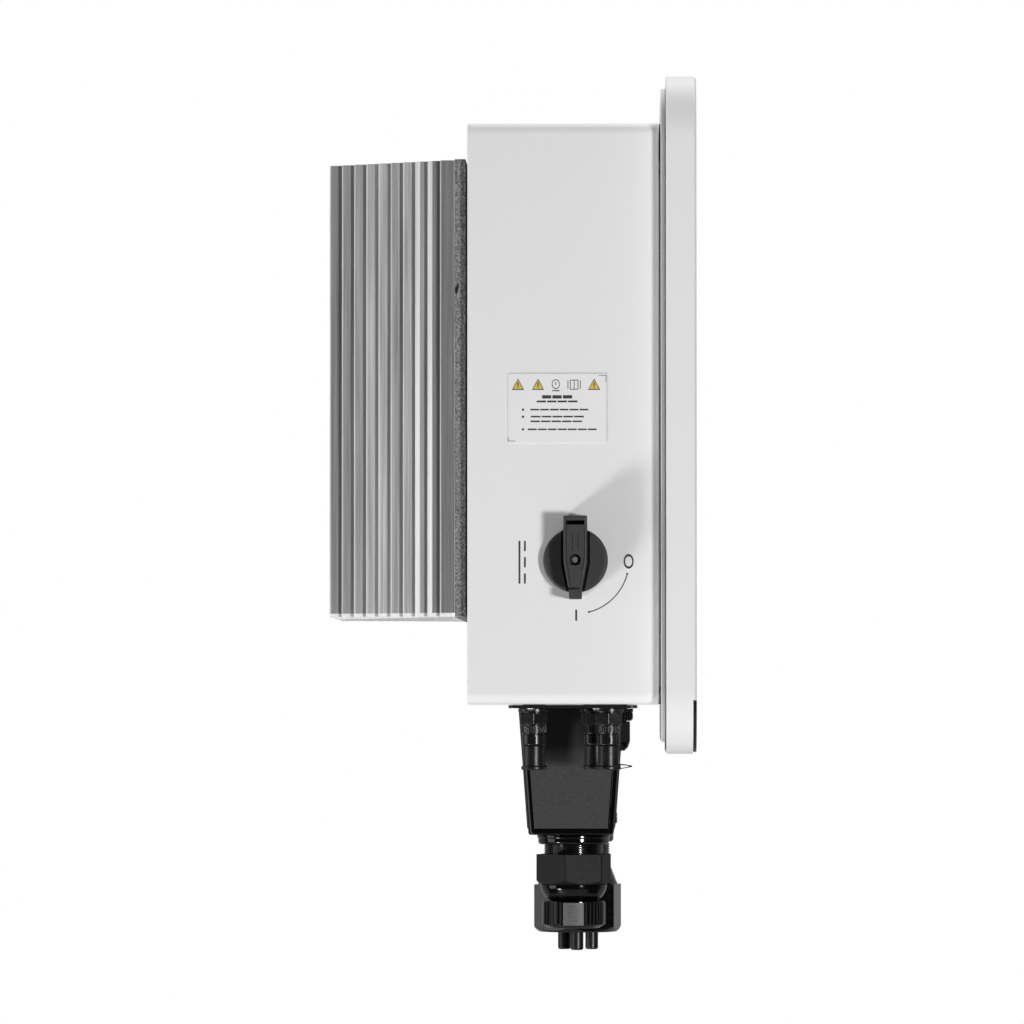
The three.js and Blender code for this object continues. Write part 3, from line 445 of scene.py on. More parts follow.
# %% [markdown]
# ## Painted sheet metal
#
# The case and its cover are powder coated: the paint flows as it cures and leaves a faint orange-peel
# skin a millimetre or two across. One flat white would look like paper, so the colour drifts by a percent
# or so over a hand's breadth, and the peel is a bump that is only seen where a light glances off it.


# %% Powder coat
def powder_coat(name, level, roughness, peel):
    paint = Finish(name, **{"Roughness": roughness, "Specular IOR Level": 0.35})
    drift = paint.noise(7, 1)
    paint.wire(Base_Color=paint.mixed(drift, shade(level - 2), shade(level + 2)))
    paint.relief(paint.noise(520, 1), peel, 0.0004)
    return paint.material


case_paint = powder_coat("case_paint", 231, 0.62, 0.12)
cover_paint = powder_coat("cover_paint", 232, 0.52, 0.08)
print("paints:", case_paint.name, cover_paint.name)

# %% [markdown]
# ## Aluminium and steel
#
# The fins are extruded, so the die leaves fine lines along them, and handling leaves each blade a little
# lighter or darker than the next. The outer blades also get painted shade, each its own amount, their tips
# a painted highlight and their lower ends a painted reflection of the pale floor. The noise is stretched a
# hundredfold along the extrusion to draw the lines, and the blade's number, found from its place across
# the sink, picks its own random tone and its painted shade.

# %% Extruded fins
FINS = {"count": 58, "thickness": 2.0, "first": 10.0, "step": 8.83, "reach": 89.5, "web": 2.5}
fins_low, fins_high, fins_mid = cad("heat_sink_fins")
fin_pitch = (fins_high.x - fins_low.x - FINS["thickness"]) / (FINS["count"] - 1)
fin_root = fins_low.y
# Bands of painted light on a blade, in metres: the painted highlight at its tip, how much wider that is
# outside, the painted reflection at its lower end, and how soft their edges are.
FIN_PAINTED_LIGHT = {"tip": 0.0009, "wider": 0.0024, "end": 0.0026, "soft": 0.0004}
# Painted shade on the outer ten blades, from the outermost inwards: how much of each blade's own colour is
# left.
BLADE_PAINTED_SHADE = [(0.0, 0.34), (0.1, 0.42), (0.3, 0.8), (0.5, 1.0), (0.7, 0.72), (0.9, 0.46)]


def fin_aluminium():
    metal = Finish("fin_aluminium", **{"Specular IOR Level": 0.5, "Metallic": 0.35})
    x, y, z = metal.axes(metal.place)
    from_side = metal.math("SUBTRACT", fins_high.x / METRE, metal.math("ABSOLUTE", x, 0))
    blade = metal.math("FLOOR", from_side / (fin_pitch / METRE), 0)
    reach = metal.math(
        "MINIMUM", FINS["reach"] / METRE, blade * (FINS["step"] / METRE) + FINS["first"] / METRE
    )
    from_tip = (fin_root / METRE + reach) - y
    lines = metal.noise(60, 3, (18, 18, 0.12))
    smears = metal.noise(24, 2, (5, 9, 0.35))
    own = metal.node("ShaderNodeTexWhiteNoise", {"noise_dimensions": "1D"}, {"W": blade})
    # painted shade: each outer blade is darkened towards a dark grey by its own set amount
    painted_blade_shade = metal.grey(blade / 10, BLADE_PAINTED_SHADE)
    # painted highlight along each blade's tip, wider on two outer blades and stronger low down
    wide = 1 - metal.math("ABSOLUTE", blade - 1.5, 0).above(0.75, 0.1)
    low_glow = (fins_mid.z / METRE - z).above(0.02, 0.14)
    tip = 1 - (from_tip - wide * FIN_PAINTED_LIGHT["wider"]).above(FIN_PAINTED_LIGHT["tip"], FIN_PAINTED_LIGHT["soft"])
    glint = tip * (0.5 + wide * (0.25 + low_glow * 0.25) + lines * 0.2)
    # below this band the lower ends are painted near white, a painted reflection of the pale floor
    above_end = (z - fins_low.z / METRE).above(FIN_PAINTED_LIGHT["end"], FIN_PAINTED_LIGHT["soft"])
    tone = lines * 0.52 + smears * 0.36 + own * 0.14
    blank = metal.grey(tone, [(0.2, 0.2), (0.5, 0.5), (0.8, 0.82)])
    metal.wire(
        Base_Color=metal.mixed(
            above_end,
            shade(252),
            metal.mixed(glint, metal.mixed(painted_blade_shade, shade(60), blank), shade(250)),
        ),
        Roughness=metal.math("MULTIPLY_ADD", lines, 0.25, 0.3),
    )
    metal.relief(lines, 0.5, 0.0004)
    return metal.material


fin_metal = fin_aluminium()
print("fin pitch, mm:", round(fin_pitch, 2))

# %% [markdown]
# The base under the fins is a rough casting. Its grain feeds a ramp of greys, and a second, larger noise
# is cut off high up, which leaves only a few dark pores. Brackets and screws are zinc plated: crystals a
# few millimetres wide, each with a shade of its own, which is what a Voronoi pattern gives. The windings
# of the coils are only stripes.


# %% Cast base, zinc plated steel, screws and copper
GRAIN_TONES = [(0.25, 0.07), (0.5, 0.2), (0.75, 0.42)]


def cast_aluminium():
    metal = Finish("base_aluminium", **{"Metallic": 0.55, "Specular IOR Level": 0.4})
    grains = metal.noise(640, 3)
    pits = metal.noise(90, 2, (1, 1, 0.5))
    pores = pits.above(0.72, 0.015)
    metal.wire(
        Base_Color=metal.mixed(pores, metal.grey(grains, GRAIN_TONES), shade(28)),
        Roughness=grains * 0.3 + 0.5,
    )
    metal.relief(grains, 0.9, 0.0006)
    return metal.material


def zinc_steel(name, level, roughness):
    metal = Finish(name, **{"Metallic": 0.9})
    spangle = metal.node("ShaderNodeTexVoronoi", inputs={"Vector": metal.place, "Scale": 420.0}, output=1)
    flake = metal.node("ShaderNodeSeparateColor", inputs={"Color": spangle})
    brushed = metal.noise(90, 2, (14, 14, 1))
    metal.wire(
        Base_Color=metal.mixed(flake * 0.35 + brushed * 0.5, shade(level - 14), shade(level + 8)),
        Roughness=flake * 0.07 + roughness,
    )
    metal.relief(brushed, 0.2, 0.0002)
    return metal.material


def copper_winding():
    metal = Finish("copper", **{"Metallic": 0.8, "Roughness": 0.35})
    turns = metal.node(
        "ShaderNodeTexWave",
        {"bands_direction": "DIAGONAL"},
        {"Vector": metal.place, "Scale": 160.0, "Distortion": 1.0},
        1,
    )
    metal.wire(Base_Color=metal.mixed(turns, shade(120, (1, 0.42, 0.2)), shade(210, (1, 0.5, 0.28))))
    metal.relief(turns, 0.8, 0.0008)
    return metal.material


base_metal = cast_aluminium()
bracket_steel = zinc_steel("bracket_steel", 196, 0.34)
screw_steel = zinc_steel("screw_steel", 176, 0.28)
copper = copper_winding()
print("metals:", base_metal.name, bracket_steel.name, screw_steel.name, copper.name)

# %% [markdown]
# ## Black plastics and rubber
#
# The glands, sockets and the wiring box come out of polished and spark-etched moulds of the same black
# plastic. Polished faces mirror the lamps as thin lines, etched ones look dark grey. One function makes
# them all: how coarse the etching is, how deep it is and how much light it scatters.


# %% Moulded plastic and rubber
def moulded(name, level, roughness, grain, depth, specular=0.4, tint=(1.0, 1.0, 1.0), spread=6):
    plastic = Finish(name, **{"Specular IOR Level": specular})
    etching = plastic.noise(grain, 2)
    drift = plastic.noise(18, 1)
    plastic.wire(
        Base_Color=plastic.mixed(
            etching * 0.7 + drift * 0.3,
            shade(max(level - spread, 0), tint),
            shade(level + spread, tint),
        ),
        Roughness=etching * 0.16 + (roughness - 0.08),
    )
    plastic.relief(etching, depth, 0.0003)
    return plastic.material


gloss_black = moulded("gloss_plastic", 6, 0.09, 240, 0.03, 0.35, spread=3)
satin_black = moulded("black_plastic", 15, 0.26, 420, 0.1, spread=4)
ribbed_black = moulded("ribbed_black_plastic", 18, 0.55, 420, 0.18, 0.2, spread=5)
# The nut's pads are the same black plastic, made lighter grey as a painted sheen of the lamps on their flats.
pad_sheen_plastic = moulded("nut_pad_plastic", 92, 0.5, 300, 0.3, spread=12)


# Where, below the box's top, the panels turn smoother and take a painted shade, and how soft and ragged that
# edge is.
PANEL_TOP_SHADE = {"below_top": 0.033, "soft": 0.009, "ragged": 0.004}  # metres


def etched_panel():
    """The box's panels are etched below; towards the top, where the sockets hide and shade them, they turn
    smoother and darker, the darkening a painted shade.
    """
    panel = Finish("etched_panel", **{"Specular IOR Level": 0.3})
    etching = panel.noise(700, 2)
    [height] = panel.axes(panel.place, "Z")
    fade_at = cad("wiring_box")[1].z / METRE - PANEL_TOP_SHADE["below_top"]
    shade_and_polish = (height + etching * PANEL_TOP_SHADE["ragged"]).above(fade_at, PANEL_TOP_SHADE["soft"])
    panel.wire(
        # towards the top the near-black colour is painted shade; the lower roughness is a real smoother
        # finish
        Base_Color=panel.mixed(shade_and_polish, panel.mixed(etching, shade(38), shade(68)), shade(12)),
        Roughness=0.7 - shade_and_polish * 0.25,
    )
    panel.relief(etching, 0.5, 0.0003)
    return panel.material


panel_black = etched_panel()
knob_grey = moulded("knob_plastic", 54, 0.5, 620, 0.22, 0.35, spread=4)
rubber = moulded("rubber", 30, 0.86, 500, 0.3, 0.25, spread=5)
cap_rubber = moulded("cap_rubber", 14, 0.36, 260, 0.1, 0.4, spread=4)
button_rubber = moulded("button_rubber", 58, 0.7, 500, 0.25, 0.3, spread=4)
dark_trim = moulded("dark_trim", 24, 0.28, 500, 0.05, 0.5, spread=3)
component_plastic = moulded("component_plastic", 44, 0.5, 420, 0.3, 0.4, (0.95, 0.97, 1.1), 5)
terminal_plastic = moulded("terminal_plastic", 104, 0.5, 420, 0.2, 0.4, (0.55, 1.1, 0.6), 8)
sleeve_plastic = moulded("capacitor_sleeve", 66, 0.3, 60, 0.1, 0.5, (0.6, 0.8, 1.6), 8)
print("knob and cap:", knob_grey.name, cap_rubber.name)

# %% [markdown]
# ## Label, inks, glass and boards
#
# The label is a satin film, and its print is modelled as thin pieces of ink that lie on it, so the print
# stays sharp however near one looks. The display window is smoked glass with an opaque border, which is
# how the board behind it is kept out of sight, and the boards get tracks and pads from a brick pattern.


# %% Film, inks and glass
def plain_film(name, level, roughness, tint=(1.0, 1.0, 1.0)):
    film = Finish(name)
    haze = film.noise(30, 2)
    film.wire(
        Base_Color=film.mixed(haze, shade(level - 3, tint), shade(level + 2, tint)),
        Roughness=haze * 0.1 + roughness,
    )
    return film.material


def smoked_glass():
    glass = Finish("display_glass", **{"Roughness": 0.04, "Coat Weight": 0.5, "Coat Roughness": 0.02})
    low, high, middle = cad("lcd_panel")
    x, z = glass.axes(glass.place, "XZ")
    beside = glass.math("ABSOLUTE", x - middle.x / METRE, 0) / ((high.x - low.x) / 2.2 / METRE)
    above = glass.math("ABSOLUTE", z - middle.z / METRE, 0) / ((high.z - low.z) / 2.2 / METRE)
    border = glass.math("MAXIMUM", beside, above).above(0.98, 0.01)
    smoke = glass.noise(12, 1)
    glass.wire(
        Base_Color=glass.mixed(smoke, shade(10), shade(16)),
        Alpha=border * 0.72 + 0.28,
    )
    return glass.material


def display_cells():
    cells = Finish("lcd", **{"Roughness": 0.3})
    grid = cells.node(
        "ShaderNodeTexBrick",
        {"offset": 0.0},
        {"Vector": cells.front(), "Scale": 260.0, "Mortar Size": 0.02, "Brick Width": 0.5, "Row Height": 0.5},
        1,
    )
    cells.wire(Base_Color=cells.mixed(grid, shade(150, (0.8, 1.0, 0.72)), shade(110, (0.75, 1.0, 0.7))))
    return cells.material


def circuit_board():
    board = Finish("circuit_board", **{"Roughness": 0.42})
    flat = board.front()
    tracks = board.node(
        "ShaderNodeTexBrick",
        {"offset": 0.37},
        {"Vector": flat, "Scale": 60.0, "Mortar Size": 0.03, "Brick Width": 0.9, "Row Height": 0.22},
        1,
    )
    pads = board.node("ShaderNodeTexVoronoi", inputs={"Vector": flat, "Scale": 170.0})
    lacquer = board.mixed(tracks, shade(70, (0.4, 1.2, 0.6)), shade(92, (0.5, 1.3, 0.7)))
    board.wire(Base_Color=board.mixed(1 - pads.above(0.16, 0.02), lacquer, shade(190, (1, 0.95, 0.8))))
    board.relief(tracks, 0.3, 0.0001)
    return board.material


label_film = plain_film("sticker", 233, 0.45)
dark_ink = plain_film("dark_ink", 48, 0.5)
yellow_ink = plain_film("yellow_ink", 214, 0.45, (1.0, 0.72, 0.13))
lens_plastic = plain_film("lens", 206, 0.15, (0.92, 1.0, 0.94))
display_glass = smoked_glass()
lcd_cells = display_cells()
board_green = circuit_board()
print("inks and glass:", dark_ink.name, yellow_ink.name, display_glass.name)

# %% Finishes for the measured pieces that stay as they are
SLOT_FINISH = {
    "fin_aluminium": fin_metal,
    "base_aluminium": base_metal,
    "rubber": rubber,
    "bracket_steel": bracket_steel,
    "screw_steel": screw_steel,
    "case_paint": case_paint,
    "cover_paint": cover_paint,
    "dark_trim": dark_trim,
    "display_glass": display_glass,
    "circuit_board": board_green,
    "lcd": lcd_cells,
    "button_rubber": button_rubber,
    "lens": lens_plastic,
    "capacitor_sleeve": sleeve_plastic,
    "copper": copper,
    "component_plastic": component_plastic,
    "terminal_plastic": terminal_plastic,
    "knob_plastic": knob_grey,
    "sticker": label_film,
    "black_plastic": satin_black,
    "cap_rubber": cap_rubber,
    "gloss_plastic": gloss_black,
}
for row in frame["record"]["subparts"]:
    measured = frame["nodes"][row["node"]]
    measured.data.materials.clear()
    measured.data.materials.append(SLOT_FINISH[row["material_slot"]])

# %% [markdown]
# ## Geometry Nodes for what repeats
#
# Fins, ribs, threads and screw heads are one small shape many times over. Geometry Nodes makes the small
# shape once, puts it on every point and lets its sizes be named inputs, as a drawing's table does. Each
# tree is built here by code, evaluated once into a plain mesh, and its modifier is then gone.


# %% Trees with named sizes
class Grower(Recipe):
    """A Geometry Nodes tree whose inputs are named sizes."""

    KINDS = {float: "NodeSocketFloat", int: "NodeSocketInt", tuple: "NodeSocketVector"}

    def __init__(self, name, sizes):
        super().__init__(bpy.data.node_groups.new(name, "GeometryNodeTree"))
        face = self.tree.interface
        face.new_socket("Points", in_out="INPUT", socket_type="NodeSocketGeometry")
        face.new_socket("Geometry", in_out="OUTPUT", socket_type="NodeSocketGeometry")
        self.names = {}
        for size, kind in sizes.items():
            socket = face.new_socket(size, in_out="INPUT", socket_type=self.KINDS[kind])
            self.names[size] = socket.identifier
        self.entry = self.tree.nodes.new("NodeGroupInput")
        self.exit = self.tree.nodes.new("NodeGroupOutput")

    def size(self, name):
        return Wire(self, self.entry.outputs[name])

    def vector(self, x=0.0, y=0.0, z=0.0):
        return self.node("ShaderNodeCombineXYZ", inputs={"X": x, "Y": y, "Z": z})

    def moved(self, geometry, **how):
        return self.node("GeometryNodeTransform", inputs={"Geometry": geometry, **how})

    def block(self, size, place):
        """A box of a size, with its middle at a place."""
        return self.moved(self.node("GeometryNodeMeshCube", inputs={"Size": size}), Translation=place)

    def swept(self, path, sides, radius, capped=False):
        """A round bar along a path."""
        section = self.node(
            "GeometryNodeCurvePrimitiveCircle", inputs={"Resolution": sides, "Radius": radius}
        )
        inputs = {"Curve": path, "Profile Curve": section, "Fill Caps": capped}
        return self.node("GeometryNodeCurveToMesh", inputs=inputs)

    def on_points(self, points, shape, **more):
        """A copy of a shape on every point."""
        inputs = {"Points": points, "Instance": shape, **more}
        return self.node("GeometryNodeInstanceOnPoints", inputs=inputs)

    def joined(self, *geometries):
        join = self.node("GeometryNodeJoinGeometry")
        for geometry in geometries:
            self.tree.links.new(geometry.socket, join.socket.node.inputs[0])
        return join

    def without(self, geometry, *tools):
        boolean = self.node("GeometryNodeMeshBoolean", {"operation": "DIFFERENCE", "solver": "EXACT"})
        self.tree.links.new(geometry.socket, boolean.socket.node.inputs["Mesh 1"])
        self.tree.links.new(self.joined(*tools).socket, boolean.socket.node.inputs["Mesh 2"])
        return boolean

    def united(self, *tools):
        union = self.node("GeometryNodeMeshBoolean", {"operation": "UNION", "solver": "EXACT"})
        for tool in tools:
            self.tree.links.new(tool.socket, union.socket.node.inputs["Mesh 2"])
        return union

    def finished(self, geometry, finish):
        whole = self.node("GeometryNodeRealizeInstances", inputs={"Geometry": geometry})
        coated = self.node("GeometryNodeSetMaterial", inputs={"Geometry": whole, "Material": finish})
        self.tree.links.new(coated.socket, self.exit.inputs[0])
        return self


def grown(name, grower, values, points, place, attributes=None):
    """Evaluates a tree on some points, in millimetres, and returns the plain object, put in its place."""
    mesh = bpy.data.meshes.new(name)
    mesh.from_pydata([Vector(point) / METRE for point in points], [], [])
    for attribute, numbers in (attributes or {}).items():
        layer = mesh.attributes.new(attribute, "FLOAT", "POINT")
        layer.data.foreach_set("value", [number / METRE for number in numbers])
    thing = bpy.data.objects.new(name, mesh)
    bpy.context.scene.collection.objects.link(thing)
    modifier = thing.modifiers.new("grow", "NODES")
    modifier.node_group = grower.tree
    for size, value in values.items():
        modifier[grower.names[size]] = value
    applied(thing)
    at = Matrix.Translation(place.translation / METRE)
    thing.data.transform(at @ place.to_3x3().to_4x4())
    return thing


print("sizes can be numbers, counts or vectors:", len(Grower.KINDS), "kinds")

# %% [markdown]
# ## The heat sink
#
# Warm air rises between fifty-eight blades. The outer ones are cut short, so seen from the side the tips
# step back one by one. A blade is a slim bar with a rounded tip. It could be an array of boxes, but the
# lengths differ, so each point carries its own reach and the tree pulls the tip out to it. Two blocks are
# then cut away for the hanger rail and the lower strap, and a web joins the roots.


# %% Blades
def blade_tree():
    tree = Grower("fin_blades", {
        "Height": float, "Tip radius": float, "Web size": tuple, "Web place": tuple,
        "Rail room": tuple, "Rail place": tuple, "Strap room": tuple, "Strap place": tuple,
    })
    path = tree.node(
        "GeometryNodeCurvePrimitiveLine", inputs={"End": tree.vector(z=tree.size("Height"))}
    )
    bar = tree.swept(path, 16, tree.size("Tip radius"), capped=True)
    [across] = tree.axes(tree.node("GeometryNodeInputPosition"), "Y")
    outer_half = tree.math("GREATER_THAN", across, 0.0)
    bar = tree.node(
        "GeometryNodeStoreNamedAttribute",
        {"data_type": "FLOAT", "domain": "POINT"},
        {"Geometry": bar, "Name": "tip", "Value": outer_half},
    )
    copies = tree.on_points(tree.size("Points"), bar)
    blades = tree.node("GeometryNodeRealizeInstances", inputs={"Geometry": copies})
    tip, reach = (
        tree.node("GeometryNodeInputNamedAttribute", {"data_type": "FLOAT"}, {"Name": name})
        for name in ("tip", "reach")
    )
    blades = tree.node(
        "GeometryNodeSetPosition", inputs={"Geometry": blades, "Offset": tree.vector(y=tip * reach)}
    )
    rooms = [tree.block(tree.size(f"{name} room"), tree.size(f"{name} place")) for name in ("Rail", "Strap")]
    web = tree.block(tree.size("Web size"), tree.size("Web place"))
    return tree.finished(tree.joined(tree.without(blades, *rooms), web), fin_metal)


def room_round(node):
    """Size and middle, in metres, of the block to clear for a bracket, open towards the wall."""
    low, high, _ = cad(node)
    low = low - Vector((GAP,) * 3)
    high = Vector((high.x + GAP, PAST, high.z + GAP))
    return tuple((high - low) / METRE), tuple((high + low) / 2 / METRE)


def heat_sink():
    low, high, middle = fins_low, fins_high, fins_mid
    half = FINS["thickness"] / 2
    edges = [min(i, FINS["count"] - 1 - i) for i in range(FINS["count"])]
    reaches = [min(FINS["first"] + edge * FINS["step"], FINS["reach"]) - half for edge in edges]
    points = [(low.x + half + i * fin_pitch, fin_root, low.z) for i in range(FINS["count"])]
    width, height = high.x - low.x, high.z - low.z
    rail_size, rail_place = room_round("hanger_rail")
    strap_size, strap_place = room_round("lower_strap")
    values = {
        "Height": height / METRE,
        "Tip radius": half / METRE,
        "Web size": (width / METRE, FINS["web"] / METRE, height / METRE),
        "Web place": (middle.x / METRE, (fin_root + FINS["web"] / 2) / METRE, middle.z / METRE),
        "Rail room": rail_size,
        "Rail place": rail_place,
        "Strap room": strap_size,
        "Strap place": strap_place,
    }
    fins = grown("cooling_fins", blade_tree(), values, points, Matrix(), {"reach": reaches})
    polished(fins, crease=40)
    return handed_over(fins, fin_metal, "enclosure", ["heat_sink_fins"])


heat_sink()

# %% [markdown]
# The fins stand on a cast base, and two steel brackets hold the machine on its wall. The base and the
# strap are plates with softened edges. The rail is one strip folded over into a hook, so its profile is
# drawn once and carried across.

# %% Cast base
base_low, base_high, base_mid = cad("heat_sink_base")
base_size = base_high - base_low
piece(
    "sink_base",
    slab(base_size.x, base_size.z, corner=1.2, low=0, high=base_size.y, edge=0.6, steps=3),
    facing("back", (base_mid.x, base_low.y, base_mid.z)),
    base_metal, nodes=["heat_sink_base"],
)


# %% Hanger rail and lower strap
RAIL = {"sheet": 3.0, "hook_low": -10.0, "round": 1.1, "edge": 0.3}


def softened(outline, radius):
    """A closed outline with every corner rounded."""
    closed = smooth_profile([outline[-1], *outline, outline[0]], radius, 4)
    return closed[1:-1]


def bent_rail():
    """The hanger rail is one strip, folded over the top into a hook that hangs behind."""
    low, high, _ = cad("hanger_rail")
    sheet, hook_low = RAIL["sheet"], RAIL["hook_low"]
    front, rear = -low.y, -high.y
    profile = [
        (front, low.z), (front, high.z), (rear, high.z), (rear, hook_low),
        (rear + sheet, hook_low), (rear + sheet, high.z - sheet), (front - sheet, high.z - sheet),
        (front - sheet, low.z),
    ]
    length = high.x - low.x
    return piece(
        "wall_rail", prism(softened(profile, RAIL["round"]), 0, length), facing("left", (high.x, 0, 0)),
        bracket_steel, nodes=["hanger_rail"], edge=RAIL["edge"],
    )


bent_rail()
strap_low, strap_high, strap_mid = cad("lower_strap")
STRAP_HOLE = {"width": 14, "height": 7, "corner": 3.4, "across": 40}
strap_holes = [
    prism(rounded_outline(STRAP_HOLE["width"], STRAP_HOLE["height"], STRAP_HOLE["corner"],
                          (side * STRAP_HOLE["across"], 0)), -1, PAST)
    for side in (-1, 1)
]
piece(
    "wall_strap",
    slab(strap_high.x - strap_low.x, strap_high.z - strap_low.z, 3, 0, strap_high.y - strap_low.y, 0.4),
    facing("back", (strap_mid.x, strap_low.y, strap_mid.z)),
    bracket_steel, nodes=["lower_strap"], cuts=strap_holes,
)

# %% [markdown]
# ## Case, lid and front cover
#
# The case is a folded and welded tray, the lid a flanged plate, and the cover a deeper tray slipped over
# the lid with a shadow gap all round. Their edges are rounded by the press, and those soft edges are what
# tells sheet metal from cardboard. Each tray is one closed skin: it starts on the inner floor, climbs the
# inner wall, turns over the rim and comes back down outside.


# %% Trays
def tray(width, height, corner, depth, wall, floor, edge, steps=10):
    """A tray whose outer face is at level depth and whose rim is at level 0."""
    inside = corner - wall
    levels = [
        (wall + 1.0, depth - floor),
        (wall, depth - floor - 1.0),
        (wall, 0.3),
        (wall - 0.3, 0.0),
        (0.5, 0.0),
        (0.0, 0.5),
        *edge_round(edge, depth, -1, 6),
    ]
    print(f"tray {width:.0f} x {height:.0f}, wall {wall}, inner corner {inside:.0f}")
    return stack(
        lambda inset: rounded_outline(width - 2 * inset, height - 2 * inset, corner - inset, steps=steps),
        levels,
    )


case_low, case_high, case_mid = cad("case_shell")
case_size = case_high - case_low
piece(
    "case_body",
    tray(case_size.x, case_size.z, corner=8, depth=case_size.y, wall=3, floor=3, edge=1.6),
    facing("back", (case_mid.x, case_low.y, case_mid.z)),
    case_paint, nodes=["case_shell"],
)

lid_low, lid_high, lid_mid = cad("front_lid")
piece(
    "lid_plate",
    slab(lid_high.x - lid_low.x, lid_high.z - lid_low.z, corner=38, low=0, high=lid_high.y - lid_low.y,
         edge=0.9, steps=12),
    facing("front", (lid_mid.x, lid_high.y, lid_mid.z)),
    case_paint, nodes=["front_lid"],
)

COVER = {"corner": 45, "wall": 3, "face": 5, "edge": 2.4}
TRIM = {"height": 37.9, "depth": 2.1, "inset": 1.2}
cover_low, cover_high, cover_mid = cad("front_cover")
cover_size = cover_high - cover_low


status_low, status_high, status_mid = cad("status_lens")
STATUS_FLANGE = 1.6
BUTTON_HOLE = 5.3
OUTSIDE = 2  # how far the knives stand out of the cover's face


def on_cover(middle):
    """A place on the cover's face, from the face's middle."""
    return middle.x - cover_mid.x, middle.z - cover_mid.z


def through_face(outline, deep=8):
    return prism(outline, cover_size.y - deep, cover_size.y + OUTSIDE)


def window_in_cover(node, corner, clearance):
    """The hole in the cover for a piece that shows through it, drawn from that piece's own box."""
    low, high, middle = cad(node)
    width, height = high.x - low.x + 2 * clearance, high.z - low.z + 2 * clearance
    return through_face(rounded_outline(width, height, corner, on_cover(middle)))


def cover_cuts():
    """Holes for the window, the light bar and the buttons, and a recess for the trim along the foot."""
    middles = [cad(f"button_{number}")[2] for number in range(1, 5)]
    top = TRIM["height"] - cover_size.z / 2
    far, deep = cover_size.x, -cover_size.z
    return [
        window_in_cover("display_window", 3.3, GAP),
        window_in_cover("status_lens", status_high.z - status_low.z, GAP - STATUS_FLANGE),
        *[through_face(polygon_outline(BUTTON_HOLE, 48, 0, on_cover(middle))) for middle in middles],
        through_face([(-far, deep), (far, deep), (far, top), (-far, top)], TRIM["depth"] + GAP),
    ]


piece(
    "cover_tray",
    tray(cover_size.x, cover_size.z, COVER["corner"], cover_size.y, COVER["wall"], COVER["face"],
         COVER["edge"], steps=14),
    facing("front", (cover_mid.x, cover_high.y, cover_mid.z)),
    cover_paint, nodes=["front_cover"], cuts=cover_cuts(),
)


def trim_plate():
    """The glossy plate along the cover's foot follows its corners and stops at a straight line."""
    low, high, _ = cad("lower_trim")
    inset = TRIM["inset"]
    whole = rounded_outline(
        cover_size.x - 2 * inset, cover_size.z - 2 * inset, COVER["corner"] - inset, steps=24
    )
    top = high.z - cover_mid.z
    middle = (top + low.z - cover_mid.z) / 2
    below = [point for point in whole if point[1] <= top]
    right = max(x for x, y in whole if y >= top - 3)
    outline = sorted(
        [(right, top), *reversed(below), (-right, top)], key=lambda p: math.atan2(p[1] - middle, p[0])
    )
    return piece(
        "foot_trim", prism(outline, 0, high.y - low.y), facing("front", (0, high.y, cover_mid.z)),
        dark_trim, nodes=["lower_trim"], edge=0.4,
    )


trim_plate()

# %% [markdown]
# ## Display, buttons and status light
#
# A smoked window, four rubber buttons and a light bar look out of the cover. The buttons have a dished
# face with a raised mark, and the marks are the plainest ones there are: back, up, down and enter. Each
# button is turned like a cork and its mark is a thin raised outline on the same mesh, so it moves with it.

# %% Window, buttons and light bar
glass_low, glass_high, glass_mid = cad("display_window")
piece(
    "display_glass",
    slab(glass_high.x - glass_low.x, glass_high.z - glass_low.z, 3, 0, glass_high.y - glass_low.y, 0.4),
    facing("front", (glass_mid.x, glass_high.y, glass_mid.z)),
    display_glass, nodes=["display_window"],
)
BUTTON_MARKS = [
    [(-1.8, 0), (0.6, 1.8), (0.6, 0.6), (1.9, 0.6), (1.9, -0.6), (0.6, -0.6), (0.6, -1.8)],
    [(-1.8, -1.2), (1.8, -1.2), (0, 1.7)],
    [(0, -1.7), (1.8, 1.2), (-1.8, 1.2)],
    [(-1.7, -0.6), (0, -2.1), (0, -1.1), (1.2, -1.1), (1.2, 1.5), (0.4, 1.5), (0.4, -0.2), (0, -0.2),
     (0, 0.8)],
]
for number, mark in enumerate(BUTTON_MARKS, 1):
    low, high, middle = cad(f"button_{number}")
    depth = high.y - low.y
    cork = turned([
        (0, depth - 0.45), (3.6, depth - 0.4), (4.3, depth), (5.0, depth - 0.5), (5.0, depth - 4.7),
        (6.4, depth - 4.7), (6.4, depth - 6.4), (2.0, depth - 6.4), (2.0, 0), (0, 0),
    ][::-1], 0.3, 48)
    piece(
        f"key_{number}", together(cork, prism(mark, depth - 0.6, depth - 0.2)),
        facing("front", (middle.x, high.y, middle.z)),
        button_rubber, f"button_{number}_body", [f"button_{number}"],
    )
lens_height = status_high.z - status_low.z
piece(
    "light_bar",
    together(
        slab(status_high.x - status_low.x, lens_height, lens_height / 2, 0, 1.5, 0.2),
        slab(status_high.x - status_low.x - 2 * STATUS_FLANGE, lens_height - 2 * STATUS_FLANGE,
             lens_height / 2 - STATUS_FLANGE, 1.4, status_high.y - status_low.y, 0.5),
    ),
    facing("front", (status_mid.x, status_high.y, status_mid.z)),
    lens_plastic, nodes=["status_lens"],
)

# %% [markdown]
# ## Screws, ribs and threads
#
# Three more trees serve the whole underside. A pan-head screw is a flattened ball with a cross cut into
# it. A grip rib is a slim rod, repeated round a nut except over its flats. A thread is shown as rings, a
# pitch apart, which at this size cannot be told from a true spiral and closes cleanly at both ends.


